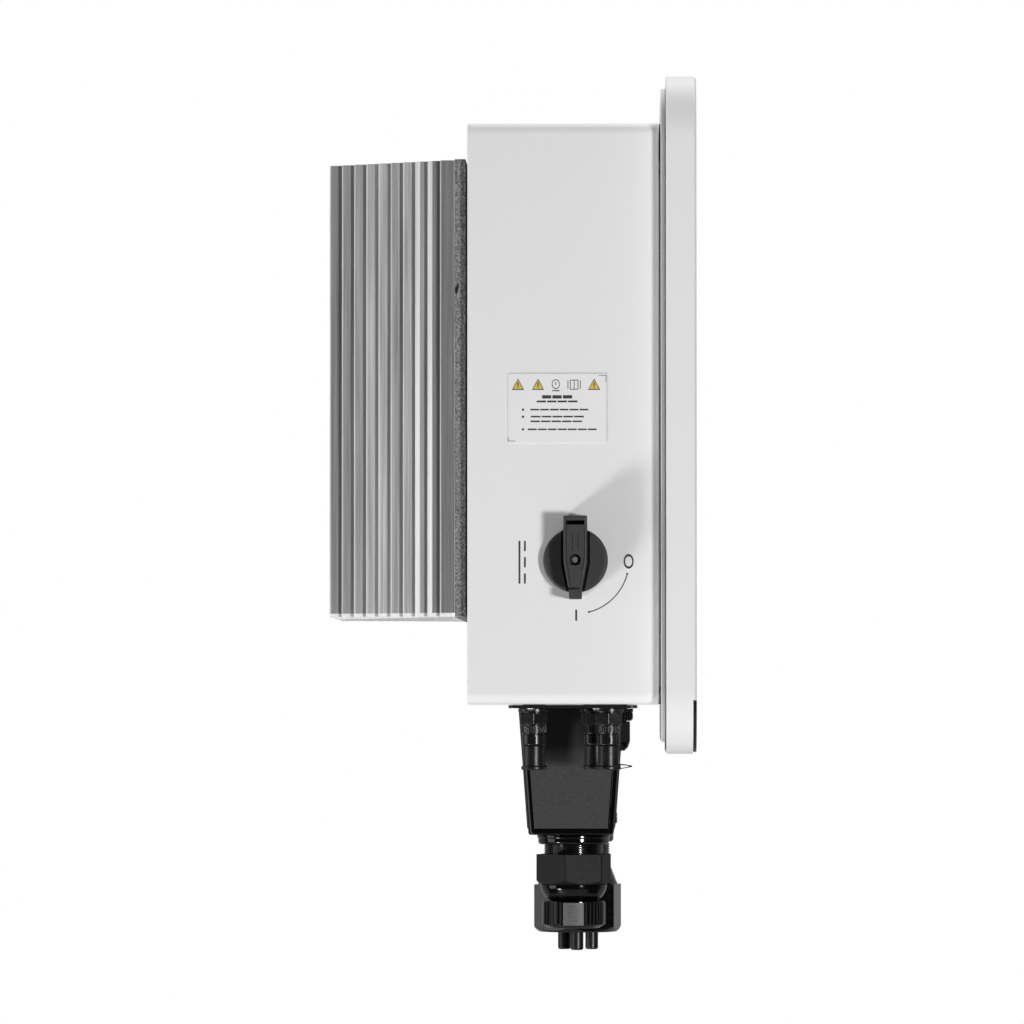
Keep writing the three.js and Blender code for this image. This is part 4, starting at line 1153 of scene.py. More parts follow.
# %% Screw heads
def screw_tree():
    tree = Grower("pan_head_screws", {
        "Head radius": float, "Head height": float, "Cross length": float, "Cross width": float,
    })
    head = tree.node(
        "GeometryNodeMeshUVSphere", inputs={"Segments": 24, "Rings": 12, "Radius": tree.size("Head radius")}
    )
    squash = tree.size("Head height") / tree.size("Head radius")
    head = tree.moved(head, Scale=tree.vector(1.0, 1.0, squash))
    depth = tree.size("Head height") * 1.1
    top = tree.vector(z=tree.size("Head height"))
    long, wide = tree.size("Cross length"), tree.size("Cross width")
    bars = [tree.block(tree.vector(x, y, depth), top) for x, y in ((long, wide), (wide, long))]
    head = tree.without(head, tree.united(*bars))
    return tree.finished(tree.on_points(tree.size("Points"), head), screw_steel)


# %% Grip ribs
def rib_tree(finish):
    tree = Grower("grip_ribs", {
        "Count": int, "Ring radius": float, "Rib radius": float, "Rib height": float,
        "Flat count": float, "Flat share": float, "Flat turn": float,
    })
    ring = tree.node(
        "GeometryNodeMeshCircle", inputs={"Vertices": tree.size("Count"), "Radius": tree.size("Ring radius")}
    )
    x, y = tree.axes(tree.node("GeometryNodeInputPosition"), "XY")
    angle = tree.math("ARCTAN2", y, x) + math.tau - tree.size("Flat turn")
    around_flats = tree.math("FRACT", angle * tree.size("Flat count") / math.tau + 0.5, 0)
    from_flat = tree.math("ABSOLUTE", around_flats - 0.5, 0)
    keep = tree.math("GREATER_THAN", from_flat, tree.size("Flat share") / 2)
    rib = tree.node(
        "GeometryNodeMeshCylinder",
        inputs={"Vertices": 10, "Radius": tree.size("Rib radius"), "Depth": tree.size("Rib height")},
    )
    rib = tree.moved(rib, Translation=tree.vector(z=tree.size("Rib height") / 2))
    return tree.finished(tree.on_points(ring, rib, Selection=keep), finish)


# %% Thread rings
def thread_tree():
    tree = Grower("thread_rings", {"Turns": int, "Pitch": float, "Ring radius": float, "Bead radius": float})
    line = tree.node(
        "GeometryNodeMeshLine",
        inputs={"Count": tree.size("Turns"), "Offset": tree.vector(z=tree.size("Pitch"))},
    )
    ring = tree.node(
        "GeometryNodeCurvePrimitiveCircle", inputs={"Resolution": 56, "Radius": tree.size("Ring radius")}
    )
    bead = tree.swept(ring, 8, tree.size("Bead radius"))
    return tree.finished(tree.on_points(line, bead), satin_black)


# %% Growing them on the machine
SCREWS = screw_tree()
THREADS = thread_tree()


def screws(name, points, place, radius=2.6, height=1.5, body="enclosure"):
    """Pan-head screws on a face, at places in its local millimetres."""
    values = {
        "Head radius": radius / METRE,
        "Head height": height / METRE,
        "Cross length": radius * 1.1 / METRE,
        "Cross width": radius * 0.28 / METRE,
    }
    heads = grown(name, SCREWS, values, points, place)
    polished(heads, crease=30)
    return handed_over(heads, screw_steel, body)


def ribs(name, place, low, high, radius, rib, count, finish, body, flats=(1, 0.0, 0.0)):
    """Grip ribs round an axis between two levels, left out over the flats: how many, share and turn."""
    values = {
        "Count": count, "Ring radius": radius / METRE, "Rib radius": rib / METRE,
        "Rib height": (high - low) / METRE, "Flat count": float(flats[0]), "Flat share": flats[1],
        "Flat turn": math.radians(flats[2]),
    }
    grip = grown(name, rib_tree(finish), values, [(0, 0, 0)], place @ Matrix.Translation((0, 0, low)))
    polished(grip, crease=50)
    return handed_over(grip, finish, body)


def threads(name, place, low, turns, pitch, radius, bead, body="enclosure"):
    """Thread rings round an axis, from a level onwards."""
    values = {
        "Turns": turns, "Pitch": pitch / METRE, "Ring radius": radius / METRE, "Bead radius": bead / METRE,
    }
    rings = grown(name, THREADS, values, [(0, 0, 0)], place @ Matrix.Translation((0, 0, low)))
    polished(rings, crease=60)
    return handed_over(rings, satin_black, body)


rail_low = cad("hanger_rail")[0]
screws("rail_screws", [(x, 0, 0) for x in (-80, -48, 48, 80)],
       facing("back", (0, rail_low.y + RAIL["sheet"], rail_low.z + 9)), radius=3.4, height=2.2)
screws("strap_screws", [(x, 0, 0) for x in (-54, 54)],
       facing("back", (0, strap_high.y - 1.6, strap_mid.z)), radius=3.0, height=1.6)

# %% [markdown]
# ## The DC switch
#
# The rotary switch is a round knob with a tall lever across it, so that a gloved hand can turn it and a
# padlock can hold it. The disc is turned, and a narrow groove is cut into it on each side of the lever,
# which draws the dark line along its foot. The lever is a tapering block with softened edges, a slot for
# the padlock in its tail, a well for its screw and a deep gap before its pointer.

# %% Knob's disc
KNOB = {"foot": 1.8, "radius": 22.6, "top": 7.8, "slope": 1.3, "lever": 28.0, "tail": 30.7, "nose": 27.2,
        "tail_half": 8.2, "nose_half": 4.4, "pointer_from": 19.6, "pointer_top": 23.5, "groove": 1.9}
SHAFT_HOLE = 4.3
ABOVE_KNOB = 40  # a level that every knife of the knob reaches
_, washer_high, washer_mid = cad("switch_washer")
case_side = washer_high.x + GAP
switch = facing("left", (case_side - GAP, washer_mid.y, washer_mid.z))


def lever_outline(inset):
    """The lever seen from outside: a broad tail that tapers to the pointer."""
    tail, nose = KNOB["tail"], KNOB["nose"]
    wide, narrow = KNOB["tail_half"] - inset, KNOB["nose_half"] - inset
    waist = -nose * 0.72
    return [
        (-narrow, -nose + inset), (narrow, -nose + inset), (narrow * 1.1, waist), (wide * 0.98, -2.0),
        (wide, 4.0), (wide, tail - inset), (-wide, tail - inset), (-wide, 4.0), (-wide * 0.98, -2.0),
        (-narrow * 1.1, waist),
    ]


def lever_groove(side):
    """The narrow dark channel along the lever's flank."""
    path = [(KNOB["nose_half"], -24), (KNOB["nose_half"] * 1.1, -19), (KNOB["tail_half"], -2),
            (KNOB["tail_half"], 24)]
    top, deep = KNOB["top"] + 0.5, KNOB["foot"] + 1.5
    return lofted([
        [(side * x, y, top), (side * x, y, deep), (side * far, y, deep), (side * far, y, top)]
        for x, y, far in ((x, y, x + KNOB["groove"]) for x, y in path)
    ])


disc = turned([
    (0, KNOB["foot"]), (KNOB["radius"] - 0.6, KNOB["foot"]), (KNOB["radius"], KNOB["foot"] + 1),
    (KNOB["radius"], KNOB["top"] - KNOB["slope"]), (KNOB["radius"] - KNOB["slope"], KNOB["top"]),
    (0, KNOB["top"]),
], 0.8, 96)
piece(
    "knob_disc", disc, switch, knob_grey, "dc_switch",
    cuts=[lever_groove(-1), lever_groove(1)], edge=0.25,
)

# %% Knob's lever
flank = stack(
    lambda inset: softened(lever_outline(inset), 0.9),
    [(0, KNOB["foot"] + 0.2), (0.2, KNOB["lever"] - 3.2), *edge_round(1.4, KNOB["lever"], -1, 4)],
)


def face_grooves():
    """Hairlines that frame the lever's face, and a narrow tongue above its screw, half a mm deep."""
    half_line, level = 0.3, KNOB["lever"]
    paths = [[(side * 6.3, 23.5), (side * 6.3, 3), (side * 5.5, -3), (side * 3.5, -18.2)] for side in (-1, 1)]
    paths += [[(side * 1.9, 18), (side * 1.9, 6.6)] for side in (-1, 1)]
    cuts = []
    for path in paths:
        for (x0, y0), (x1, y1) in zip(path, path[1:]):
            start, end = Vector((x0, y0)), Vector((x1, y1))
            off = (end - start).orthogonal().normalized() * half_line
            line = [start - off, end - off, end + off, start + off]
            cuts.append(prism([tuple(corner) for corner in line], level - 0.55, level + 2))
    return cuts


def across_lever(low, high, level):
    """A knife across the whole lever, between two places along it and down to a level."""
    return prism([(-9, low), (9, low), (9, high), (-9, high)], level, ABOVE_KNOB)


pointer = -KNOB["pointer_from"]
padlock_slot = prism(rounded_outline(12.9, 3.0, 0.5, (0, KNOB["tail"] - 4.9)), 6, ABOVE_KNOB)
lever_cuts = face_grooves() + [
    padlock_slot,
    rod(3.9, KNOB["lever"] - 7, ABOVE_KNOB, 48),
    rod(1.9, 2, 30, 24),
    rod(SHAFT_HOLE, 0, 10.8, 32),
    across_lever(-ABOVE_KNOB, pointer, KNOB["pointer_top"]),
    across_lever(pointer - 1.0, pointer + 0.4, KNOB["pointer_top"] - 13.0),
]
piece(
    "knob_lever", flank, switch, knob_grey, "dc_switch", ["switch_knob"],
    cuts=lever_cuts, edge=0.3,
)

# %% Knob's screw and washer
screws("knob_screw", [(0, 0, KNOB["lever"] - 6.7)], switch, 2.5, 2.0, "dc_switch")
piece(
    "switch_washer_ring",
    turned([(0, 0), (17, 0), (17, 1.5), (0, 1.5)], 0.3, 64), switch, rubber,
    nodes=["switch_washer"], cuts=[rod(SHAFT_HOLE, -1, 3, 32)],
)

# %% [markdown]
# ## Printed marks and the label
#
# Beside the switch are printed an arc and its two ends, off and on. They are drawn here as the plain ring
# and bar that any switch may carry, with the sign for direct current beside them. The label keeps its
# layout, symbols above and lines of small print below, but the signs are plain triangles, a ring and an
# open book, and the print is bars. Ink is thin, so each mark is a flat piece a few hundredths thick.

# %% Ink
INK = 0.05


def bar(x, y, width, height, corner=0.1):
    """A bar of ink round a middle."""
    return prism(rounded_outline(width, height, min(corner, width / 2.1, height / 2.1), (x, y), 3), 0, INK)


def ring_of_ink(x, y, radius, stroke, tall=1.0, start=0, end=360, ends=1.0):
    """A ring, or an arc whose stroke grows towards its ends."""
    steps = 48
    full = end - start >= 360
    loops = []
    for step in range(steps if full else steps + 1):
        t = step / steps
        angle = math.radians(start + (end - start) * t)
        near_end = 0 if full else max(0, 1 - min(t, 1 - t) / 0.05)
        half = stroke / 2 * (1 + (ends - 1) * near_end)
        rim = [(radius + way * half) for way in (-1, 1)]
        loops.append([
            (x + r * math.cos(angle), y + r * tall * math.sin(angle), level)
            for r, level in ((rim[0], 0), (rim[1], 0), (rim[1], INK), (rim[0], INK))
        ])
    return lofted(loops, ring=full)


def triangle(x, y, size):
    foot, top = y - size * 0.42, y + size * 0.5
    return prism(softened([(x - size / 2, foot), (x + size / 2, foot), (x, top)], 0.6), 0.0, INK)


def printed(name, shapes, place, ink):
    return piece(name, together(*shapes), place, ink)


# %% Marks beside the switch
on_case = facing("left", (case_side - 0.01, washer_mid.y, washer_mid.z))
ARC = {"radius": 37.2, "start": -76.5, "end": -13.5}
STROKE = 1.3
DIRECT_CURRENT = {"line": -39.2, "dashes": -35.4, "middle": -1.2, "steps": (-11.4, 0, 11.4)}
printed("switch_marks", [
    ring_of_ink(0, 0, ARC["radius"], 0.75, start=ARC["start"], end=ARC["end"], ends=1.9),
    ring_of_ink(37.0, -0.6, 3.0, 1.1, tall=1.45),
    bar(0.4, -38.2, STROKE, 7.8, 0.3),
    bar(DIRECT_CURRENT["line"], DIRECT_CURRENT["middle"], STROKE, 30.0, 0.3),
    *[bar(DIRECT_CURRENT["dashes"], DIRECT_CURRENT["middle"] + step, STROKE, 7.2, 0.3)
      for step in DIRECT_CURRENT["steps"]],
], on_case, dark_ink)

# %% Label
label_low, label_high, label_mid = cad("side_label")
LABEL_UP = 0.4
# Bars of ink: middle across, middle up, width and height. The book's are counted up from the signs.
BOOK = [(9.2, 0, 0.5, 6.6), (14.6, 0, 0.5, 6.6), (11.9, -3.2, 5.6, 0.5), (11.9, 3.2, 5.6, 0.5),
        (11.9, 0, 0.5, 6.4), (16.2, 0, 0.5, 6.0), (7.6, 0, 0.5, 6.0)]
PRINT_LINES = [(0.0, 7.9, 21.0, 2.3), (0.0, 4.7, 28.5, 1.3), (1.5, -1.0, 40.5, 1.1),
               (0.2, -5.9, 37.0, 1.1), (-0.6, -9.2, 36.0, 1.1), (3.6, -14.8, 48.0, 1.1)]
CORNER_MARKS = [(31.8, 22.9, 5.4, 0.35), (34.1, 20.6, 0.35, 4.6), (-31.8, -22.9, 5.4, 0.35),
                (-34.1, -21.4, 0.35, 3.0)]
DOTS = {"across": -23.8, "up": (-1.0, -5.9, -14.8)}
WORD = {"length": 7, "gap": 0.8}


def print_line(x, y, width, height):
    """A line of small print, as a row of bars about as long as words."""
    count = max(3, round(width / WORD["length"]))
    each = (width - WORD["gap"] * (count - 1)) / count
    first = x - width / 2 + each / 2
    return [bar(first + i * (each + WORD["gap"]), y, each, height) for i in range(count)]


piece(
    "side_label_film",
    slab(label_high.y - label_low.y, label_high.z - label_low.z, 1.5, 0, LABEL_UP, 0.1, steps=4),
    facing("left", (label_high.x, label_mid.y, label_mid.z)),
    label_film, nodes=["side_label"],
)
on_label = facing("left", (label_low.x, label_mid.y, label_mid.z))
above_ink = facing("left", (label_low.x - INK, label_mid.y, label_mid.z))
SIGNS_Y = 16.4
TRIANGLES = (-27.3, -13.3, 25.9)
printed("label_sign_edges", [triangle(x, SIGNS_Y, 8.6) for x in TRIANGLES], on_label, dark_ink)
printed("label_sign_faces", [triangle(x, SIGNS_Y - 0.1, 6.9) for x in TRIANGLES], above_ink, yellow_ink)
over_signs = facing("left", (label_low.x - 2 * INK, label_mid.y, label_mid.z))
printed("label_sign_bars", [
    shape for x in TRIANGLES for shape in (bar(x, SIGNS_Y + 0.3, 0.8, 2.6), bar(x, SIGNS_Y - 1.9, 0.8, 0.8))
], over_signs, dark_ink)
RING_X = -0.9
printed("label_print", [
    ring_of_ink(RING_X, SIGNS_Y + 0.4, 2.6, 0.5, tall=1.2),
    bar(RING_X, SIGNS_Y + 1.0, 0.5, 2.2),
    bar(RING_X, SIGNS_Y - 4.2, 5.2, 0.7),
    *[bar(x, SIGNS_Y + y, width, height) for x, y, width, height in BOOK],
    *[word for line in PRINT_LINES for word in print_line(*line)],
    *[ring_of_ink(DOTS["across"], y, 0.45, 0.8) for y in DOTS["up"]],
    *[bar(*mark) for mark in CORNER_MARKS],
], on_label, dark_ink)

# %% [markdown]
# ## Solar sockets and dust caps
#
# Four panel sockets hang under the case on a plate, each closed by a rubber cap. A socket is turned: a
# washer, a nut, a collar with two latch windows and a spigot that the cap slips over. The cap has a lip at
# its foot and a tab to pull it by. Turning keeps them true, and small cuts give them their windows.

# %% Plate under the case
plate_low, plate_high, plate_mid = cad("connector_plate")
plate_under = facing("down", (plate_mid.x, plate_mid.y, plate_high.z))
piece(
    "socket_plate",
    slab(plate_high.x - plate_low.x, plate_high.y - plate_low.y, 5, 0, plate_high.z - plate_low.z, 0.7),
    plate_under, satin_black, nodes=["connector_plate"],
)
under_plate = plate_low.z - GAP
screws(
    "plate_screws",
    [(x, y, 0) for x in (-48.5, 46.5) for y in (-29.5, 16.5)],
    facing("down", (plate_mid.x, plate_mid.y, plate_low.z)), radius=3.0, height=1.7,
)

# %% Solar sockets
PV = {"nut": 11.7, "collar": 14.0, "spigot": 14.5}


def socket_shape():
    """The profile is (radius, level), downwards from inside the case."""
    nut, collar = PV["nut"], PV["nut"] + PV["collar"]
    end = collar + PV["spigot"]
    body = turned([
        (0, -8), (7.8, -8), (7.8, 0), (10.8, 0), (10.8, 2.2), (9.4, 2.5), (9.4, nut - 0.6), (8.9, nut),
        (8.3, nut + 0.1), (8.3, nut + 5.4), (7.9, nut + 5.6), (7.9, nut + 6.6), (8.3, nut + 6.8),
        (8.3, collar - 0.8), (7.8, collar), (5.7, collar), (5.7, end - 0.5), (5.2, end), (2.6, end),
        (2.1, end - 0.5), (2.1, end - 20), (0, end - 20),
    ], 0.25, 56)
    hexes = stack(
        lambda inset: softened(polygon_outline(10.9 - inset, 6, 0), 0.6),
        [(0.5, 3.0), (0, 3.4), (0, nut - 1.2), (0.9, nut - 0.5)],
    )
    return together(body, hexes)


def latch_windows():
    low, high = PV["nut"] + 8.4, PV["nut"] + 12.6
    return [
        lofted([[(sx * x, y, level) for x, y in ((7.4, -1.7), (9.5, -1.7), (9.5, 1.7), (7.4, 1.7))]
                for level in (low, high)])
        for sx in (-1, 1)
    ]


# %% Dust caps
CAP = {"inner": 6.0, "outer": 7.6, "rim": 8.7, "floor": 2.4, "lip": 2.6, "tab": 9.0, "tab_height": 4.6}


def cap_shape():
    top = PV["nut"] + PV["collar"] + GAP
    floor = top + PV["spigot"]
    end = floor + CAP["floor"]
    return turned([
        (0, floor), (CAP["inner"], floor), (CAP["inner"], top + 0.3), (CAP["inner"] + 0.3, top),
        (CAP["outer"] - 0.2, top), (CAP["outer"], top + 0.4), (CAP["outer"], end - CAP["lip"] - 0.2),
        (CAP["rim"] - 0.2, end - CAP["lip"]), (CAP["rim"], end - CAP["lip"] + 0.5), (CAP["rim"], end - 0.5),
        (CAP["rim"] - 0.5, end), (4.2, end), (3.6, end - 0.5), (0, end - 0.5),
    ], 0.2, 56), end


def front_tab(end):
    """A pull loop that points forwards: two thin straps that meet in a point."""
    root, tip = CAP["outer"] - 1.2, CAP["outer"] + CAP["tab"]
    low, high = end, end - CAP["tab_height"]
    half, tall = 1.5, CAP["tab_height"]
    outside = [(root, low - 0.1), (tip, low - tall * 0.45), (tip, low - tall * 0.65), (root, high)]
    inside = [
        (root + 2.2, low - 1.2), (tip - 2.4, low - 2.2), (tip - 2.4, low - 2.7), (root + 2.2, high + 1.2)
    ]
    return lofted([
        [(x, y, level) for y, level in line]
        for x, line in ((-half, outside), (-half, inside), (half, inside), (half, outside))
    ], ring=True)


def side_tab(end):
    """A flat tab with an eye, out to the right."""
    outline = rounded_outline(CAP["tab"] + 2, 5.4, 2.6, (CAP["outer"] + CAP["tab"] / 2 - 1.0, 0))
    eye = rounded_outline(3.2, 2.6, 1.2, (CAP["outer"] + CAP["tab"] - 3.4, 0))
    loops = [
        [(x, y, level) for x, y in line]
        for line, level in ((outline, end - 1.9), (outline, end - 0.1), (eye, end - 0.1), (eye, end - 1.9))
    ]
    return lofted(loops, ring=True)


# %% Four sockets and their caps
for number in range(1, 5):
    middle = cad(f"pv_socket_{number}")[2]
    under = facing("down", (middle.x, middle.y, under_plate))
    piece(
        f"solar_socket_{number}", socket_shape(), under, satin_black,
        nodes=[f"pv_socket_{number}"], cuts=latch_windows(),
    )
    ribs(f"solar_socket_ribs_{number}", under, PV["nut"] + 0.6, PV["nut"] + 5.0, 8.2, 0.45, 28,
         satin_black, "enclosure")
    cup, end = cap_shape()
    forwards = middle.y - cad(f"pv_cap_{number}")[0].y > CAP["rim"] + 2
    tab = front_tab(end) if forwards else side_tab(end)
    piece(f"dust_cap_{number}", together(cup, tab), under, cap_rubber,
          f"pv_cap_{number}_body", [f"pv_cap_{number}"])

# %% [markdown]
# ## Communication gland
#
# The data line of a monitoring system comes in through a small gland: a ribbed body that is screwed into
# the plate and a hexagonal nut that ends in a dome. Both are turned, and the nut's hexagon is a stack. The
# nut is a piece of its own, because it turns.

# %% Communication gland
COM = {"flange": 8.8, "nut": 15.0, "dome": 6.0}
com_mid = cad("com_gland_body")[2]
com = facing("down", (com_mid.x, com_mid.y, under_plate))
piece(
    "data_plug_body",
    turned([(0, -8), (6, -8), (6, 0), (10.2, 0), (10.2, 2.4), (9.5, 2.7), (9.5, COM["flange"] - 1),
            (8.7, COM["flange"]), (5.4, COM["flange"]), (5.4, COM["flange"] + 9), (0, COM["flange"] + 9)],
           0.3, 56),
    com, satin_black, nodes=["com_gland_body"],
)
ribs("data_plug_ribs", com, 3.0, COM["flange"] - 1.2, 9.5, 0.6, 30, satin_black,
     "enclosure")


def small_gland_nut():
    top = COM["flange"] + GAP
    skirt = top + COM["nut"]
    end = skirt + COM["dome"]
    hexes = stack(
        lambda inset: softened(polygon_outline(9.2 - inset, 6, 0), 1.0),
        [(0.6, top), (0, top + 0.6), (0, skirt - 1.0), (1.1, skirt)],
    )
    dome = turned([(0, top + 10), (7.6, top + 10), (7.8, skirt - 0.2), (7.4, skirt + 1.2),
                   (6.4, skirt + COM["dome"] * 0.6), (4.4, end - 0.4), (3.8, end), (3.2, end - 0.6),
                   (3.0, end - 2.4), (0, end - 2.4)], 0.5, 56)
    return together(hexes, dome)


piece("data_plug_nut", small_gland_nut(), com, gloss_black, "com_nut", ["com_gland_nut"])

# %% [markdown]
# ## Wiring box
#
# The mains and data cables enter through a deep drafted box. Its corners are polished and its broad faces
# are etched panels that stand a few tenths proud, so a thin line of light runs round each. The box is one
# stack whose outline shrinks downwards by the draft. The panels are laid on its sloping faces.

# %% Box and panels
box_low, box_high, box_mid = cad("wiring_box")
box_size = box_high - box_low
BOX = {"draft": 6.6, "corner": 5.0, "frame": 4.7, "proud": 0.45}


def box_shape():
    steps = 6
    levels = [(BOX["draft"] * t / steps, box_size.z * t / steps) for t in range(steps)]
    foot = [
        (BOX["draft"] + inset, level) for inset, level in edge_round(1.6, box_size.z, -1, 4)
    ]
    return stack(
        lambda inset: rounded_outline(box_size.x - 2 * inset, box_size.y - 2 * inset, BOX["corner"]),
        [(0.4, 0.0), (0.0, 0.4), *levels[1:], *foot],
    )


box_under = facing("down", (box_mid.x, box_mid.y, box_high.z))
piece("wiring_box_body", box_shape(), box_under, gloss_black, nodes=["wiring_box"])


def sloped_panel(half_width, reach):
    """An etched panel on a drafted face, as a thin raised plate that follows the slope."""
    top, foot = 2.0, box_size.z - BOX["frame"]
    slope = BOX["draft"] / box_size.z
    loops = []
    for out, shrink in ((-0.8, 0.0), (BOX["proud"] - 0.15, 0.0), (BOX["proud"], 0.35)):
        below, above = foot - shrink, top + shrink
        loops.append([
            (side * (half_width - BOX["frame"] - slope * level - shrink), -level,
             reach - slope * level + out)
            for side, level in ((-1, below), (1, below), (1, above), (-1, above))
        ])
    return lofted(loops)


for name, direction, half_width, reach in (
    ("left", "left", box_size.y / 2, box_size.x / 2),
    ("front", "front", box_size.x / 2, box_size.y / 2),
    ("rear", "back", box_size.x / 2, box_size.y / 2),
):
    piece(
        f"wiring_box_panel_{name}", sloped_panel(half_width, reach),
        facing(direction, (box_mid.x, box_mid.y, box_high.z)), panel_black,
    )
CLIP = {"width": 10, "depth": 2.6, "corner": 0.6, "half": 3.6, "left": 60, "down": 80}
clip_y = -(box_size.y / 2 - BOX["draft"] * 0.87 + 0.2)
piece(
    "wiring_box_clip",
    slab(CLIP["width"], CLIP["depth"], CLIP["corner"], -CLIP["half"], CLIP["half"], 0.3),
    facing("down", (box_mid.x - CLIP["left"], box_mid.y + clip_y, box_high.z - CLIP["down"])),
    satin_black,
)

# %% [markdown]
# ## Cable glands
#
# Two large glands close the cable entries: a collar, a threaded neck, a hexagon to hold, a smooth shoulder
# and a ribbed nut that squeezes a rubber seal. The hexagons get their scalloped corners as on a lathe, by
# keeping only what lies inside a cone. The ribs and threads come from the trees above, and the nuts ride
# on their own bodies, because they turn.

# %% Hexagons with scalloped corners
gland_face = box_low.z - GAP


def kept_inside(thing, shape, place):
    """Keeps only what lies inside another shape."""
    mould = raw_object("mould", shape, place)
    boolean = thing.modifiers.new("cone", "BOOLEAN")
    boolean.object, boolean.operation, boolean.solver = mould, "INTERSECT", "EXACT"
    applied(thing)
    bpy.data.objects.remove(mould)
    return thing


def hexagon_piece(name, radius, turn, low, high, chamfer, place, finish, body, hollow):
    """A hexagon with its lower corners turned off and a hole through it."""
    thing = raw_object(name, prism(softened(polygon_outline(radius, 6, turn), 1.2), low, high), place)
    cone = turned([
        (0, low - 1), (radius + 1, low - 1), (radius + 1, high - chamfer * 1.4),
        (radius - 1.9 * chamfer, high + 0.4), (0, high + 0.4),
    ], 0, 96)
    kept_inside(thing, cone, place)
    cut_by(thing, [(rod(hollow, low - 1, high + 1), place)])
    polished(thing, 0.3, 32)
    return handed_over(thing, finish, body)


# %% Body of the smaller gland
HEX_CHAMFER = 3.4
data_mid = cad("data_gland_body")[2]
data_gland = facing("down", (data_mid.x, data_mid.y, gland_face))
DATA = {"collar": 6.8, "neck": 7.2, "hex": 22.5, "bowl": 10.8, "spigot": 12.0}
neck_end = DATA["collar"] + DATA["neck"]
hex_end = neck_end + DATA["hex"]
bowl_end = hex_end + DATA["bowl"]
piece(
    "data_gland_core",
    turned([
        (0, -14), (19.5, -14), (19.5, 0), (26.3, 0), (26.3, 2.0), (25.6, 2.4), (25.6, 5.2), (24.6, 6.8),
        (20.6, 6.9), (20.6, neck_end), (21.3, neck_end + 0.2), (21.3, hex_end - 1), (23.9, hex_end - 0.6),
        (23.7, hex_end + 2), (22.4, hex_end + 5.5), (20.2, hex_end + 8.6), (17.4, bowl_end),
        (15, bowl_end + 0.2), (15, bowl_end + DATA["spigot"] - 0.4), (0, bowl_end + DATA["spigot"] - 0.4),
    ], 0.5, 96),
    data_gland, gloss_black, nodes=["data_gland_body"],
)
threads("data_gland_thread", data_gland, low=8.2, turns=4, pitch=1.6, radius=20.7, bead=0.62)
hexagon_piece(
    "data_gland_hexagon", radius=28.2, turn=13, low=neck_end, high=hex_end, chamfer=HEX_CHAMFER,
    place=data_gland, finish=ribbed_black, body="enclosure", hollow=20.9,
)

# %% Body of the larger gland
ac_mid = cad("ac_gland_body")[2]
ac_gland = facing("down", (ac_mid.x, ac_mid.y, gland_face))
AC = {"collar": 6.8, "neck": 16.0, "cone": 15.0, "spigot": 17.0}
ac_neck_end = AC["collar"] + AC["neck"]
cone_end = ac_neck_end + AC["cone"]
piece(
    "ac_gland_core",
    turned([
        (0, -14), (21.8, -14), (21.8, 0), (26.3, 0), (26.3, 5.4), (25.2, 6.8), (23.3, 7.0), (22.8, 7.4),
        (22.8, ac_neck_end - 0.4), (23.6, ac_neck_end + 0.6), (28.6, cone_end - 1.6), (29.2, cone_end - 0.8),
        (29.2, cone_end), (24, cone_end + 0.1), (24, cone_end + AC["spigot"]), (0, cone_end + AC["spigot"]),
    ], 0.5, 96),
    ac_gland, gloss_black, nodes=["ac_gland_body"],
)
threads("ac_gland_thread", ac_gland, low=9.0, turns=8, pitch=1.7, radius=22.9, bead=0.6)

# %% [markdown]
# ## Gland nuts and seals
#
# A nut squeezes a rubber seal round the cable. The smaller nut is a ribbed ring with four smooth pads, so
# the ring is turned, the tree above grows the ribs and leaves them out where a pad is. The larger nut is
# a plain hexagon with a floor. Its seal has three holes, each closed by a long plug until it is needed.

# %% Nut of the smaller gland
FLOORS = {"data": 3.2, "ac": 3.6}


def nut_ring(radius, top, end, floor, hollow, mouth, chamfer):
    """The turned ring that carries a nut's ribs, open for the spigot above and the cable below."""
    inner_floor = end - floor
    loops = smooth_profile([
        (hollow, top), (radius, top), (radius, end - chamfer), (radius - 1.6 * chamfer, end),
        (mouth, end), (mouth, inner_floor), (hollow, inner_floor), (hollow, top), (radius, top),
    ], 0.5)[1:-1]
    return lofted(spun(loops, 96), ring=True)


nut_top = bowl_end + GAP
nut_end = nut_top + 19.4
piece(
    "data_gland_nut_ring",
    nut_ring(22.1, nut_top, nut_end, FLOORS["data"], hollow=15.3, mouth=10.5, chamfer=2.4),
    data_gland, gloss_black, "data_nut", ["data_gland_nut"],
)
NUT_TURN = 180.0
FLATS = (4, 0.46, NUT_TURN)
ribs("data_gland_nut_ribs", data_gland, nut_top + 0.6, nut_end - 2.4, 22.2, 0.95, 44, ribbed_black,
     "data_nut", FLATS)


PAD_RIDGES = {"count": 6, "first": 2.6, "pitch": 2.1, "share": 0.5}


def patch(angles, profile):
    """A profile of (radius, level) carried round the axis through some angles."""
    return lofted([[(r * math.cos(a), r * math.sin(a), level) for r, level in profile] for a in angles])


def nut_pads(radius, low, high, count, share, turn, rise):
    """Smooth pads between a nut's ribs, each a patch of a slightly larger ring with fine ridges on it."""
    pads = []
    half = math.pi / count * share
    inner, outer = radius - 1, radius + rise
    for pad in range(count):
        middle = math.radians(turn) + math.tau * pad / count
        angles = [middle - half + 2 * half * step / 8 for step in range(9)]
        pads.append(patch(
            angles, [(inner, low), (inner, high), (outer, high - 0.4), (outer, low + 0.4)]
        ))
        angles = [middle + half * PAD_RIDGES["share"] * (step / 3 - 1) for step in range(7)]
        for row in range(PAD_RIDGES["count"]):
            level = low + PAD_RIDGES["first"] + row * PAD_RIDGES["pitch"]
            pads.append(patch(angles, [
                (outer - 0.2, level), (outer - 0.2, level + 0.9), (outer + 0.22, level + 0.7),
                (outer + 0.22, level + 0.2),
            ]))
    return together(*pads)


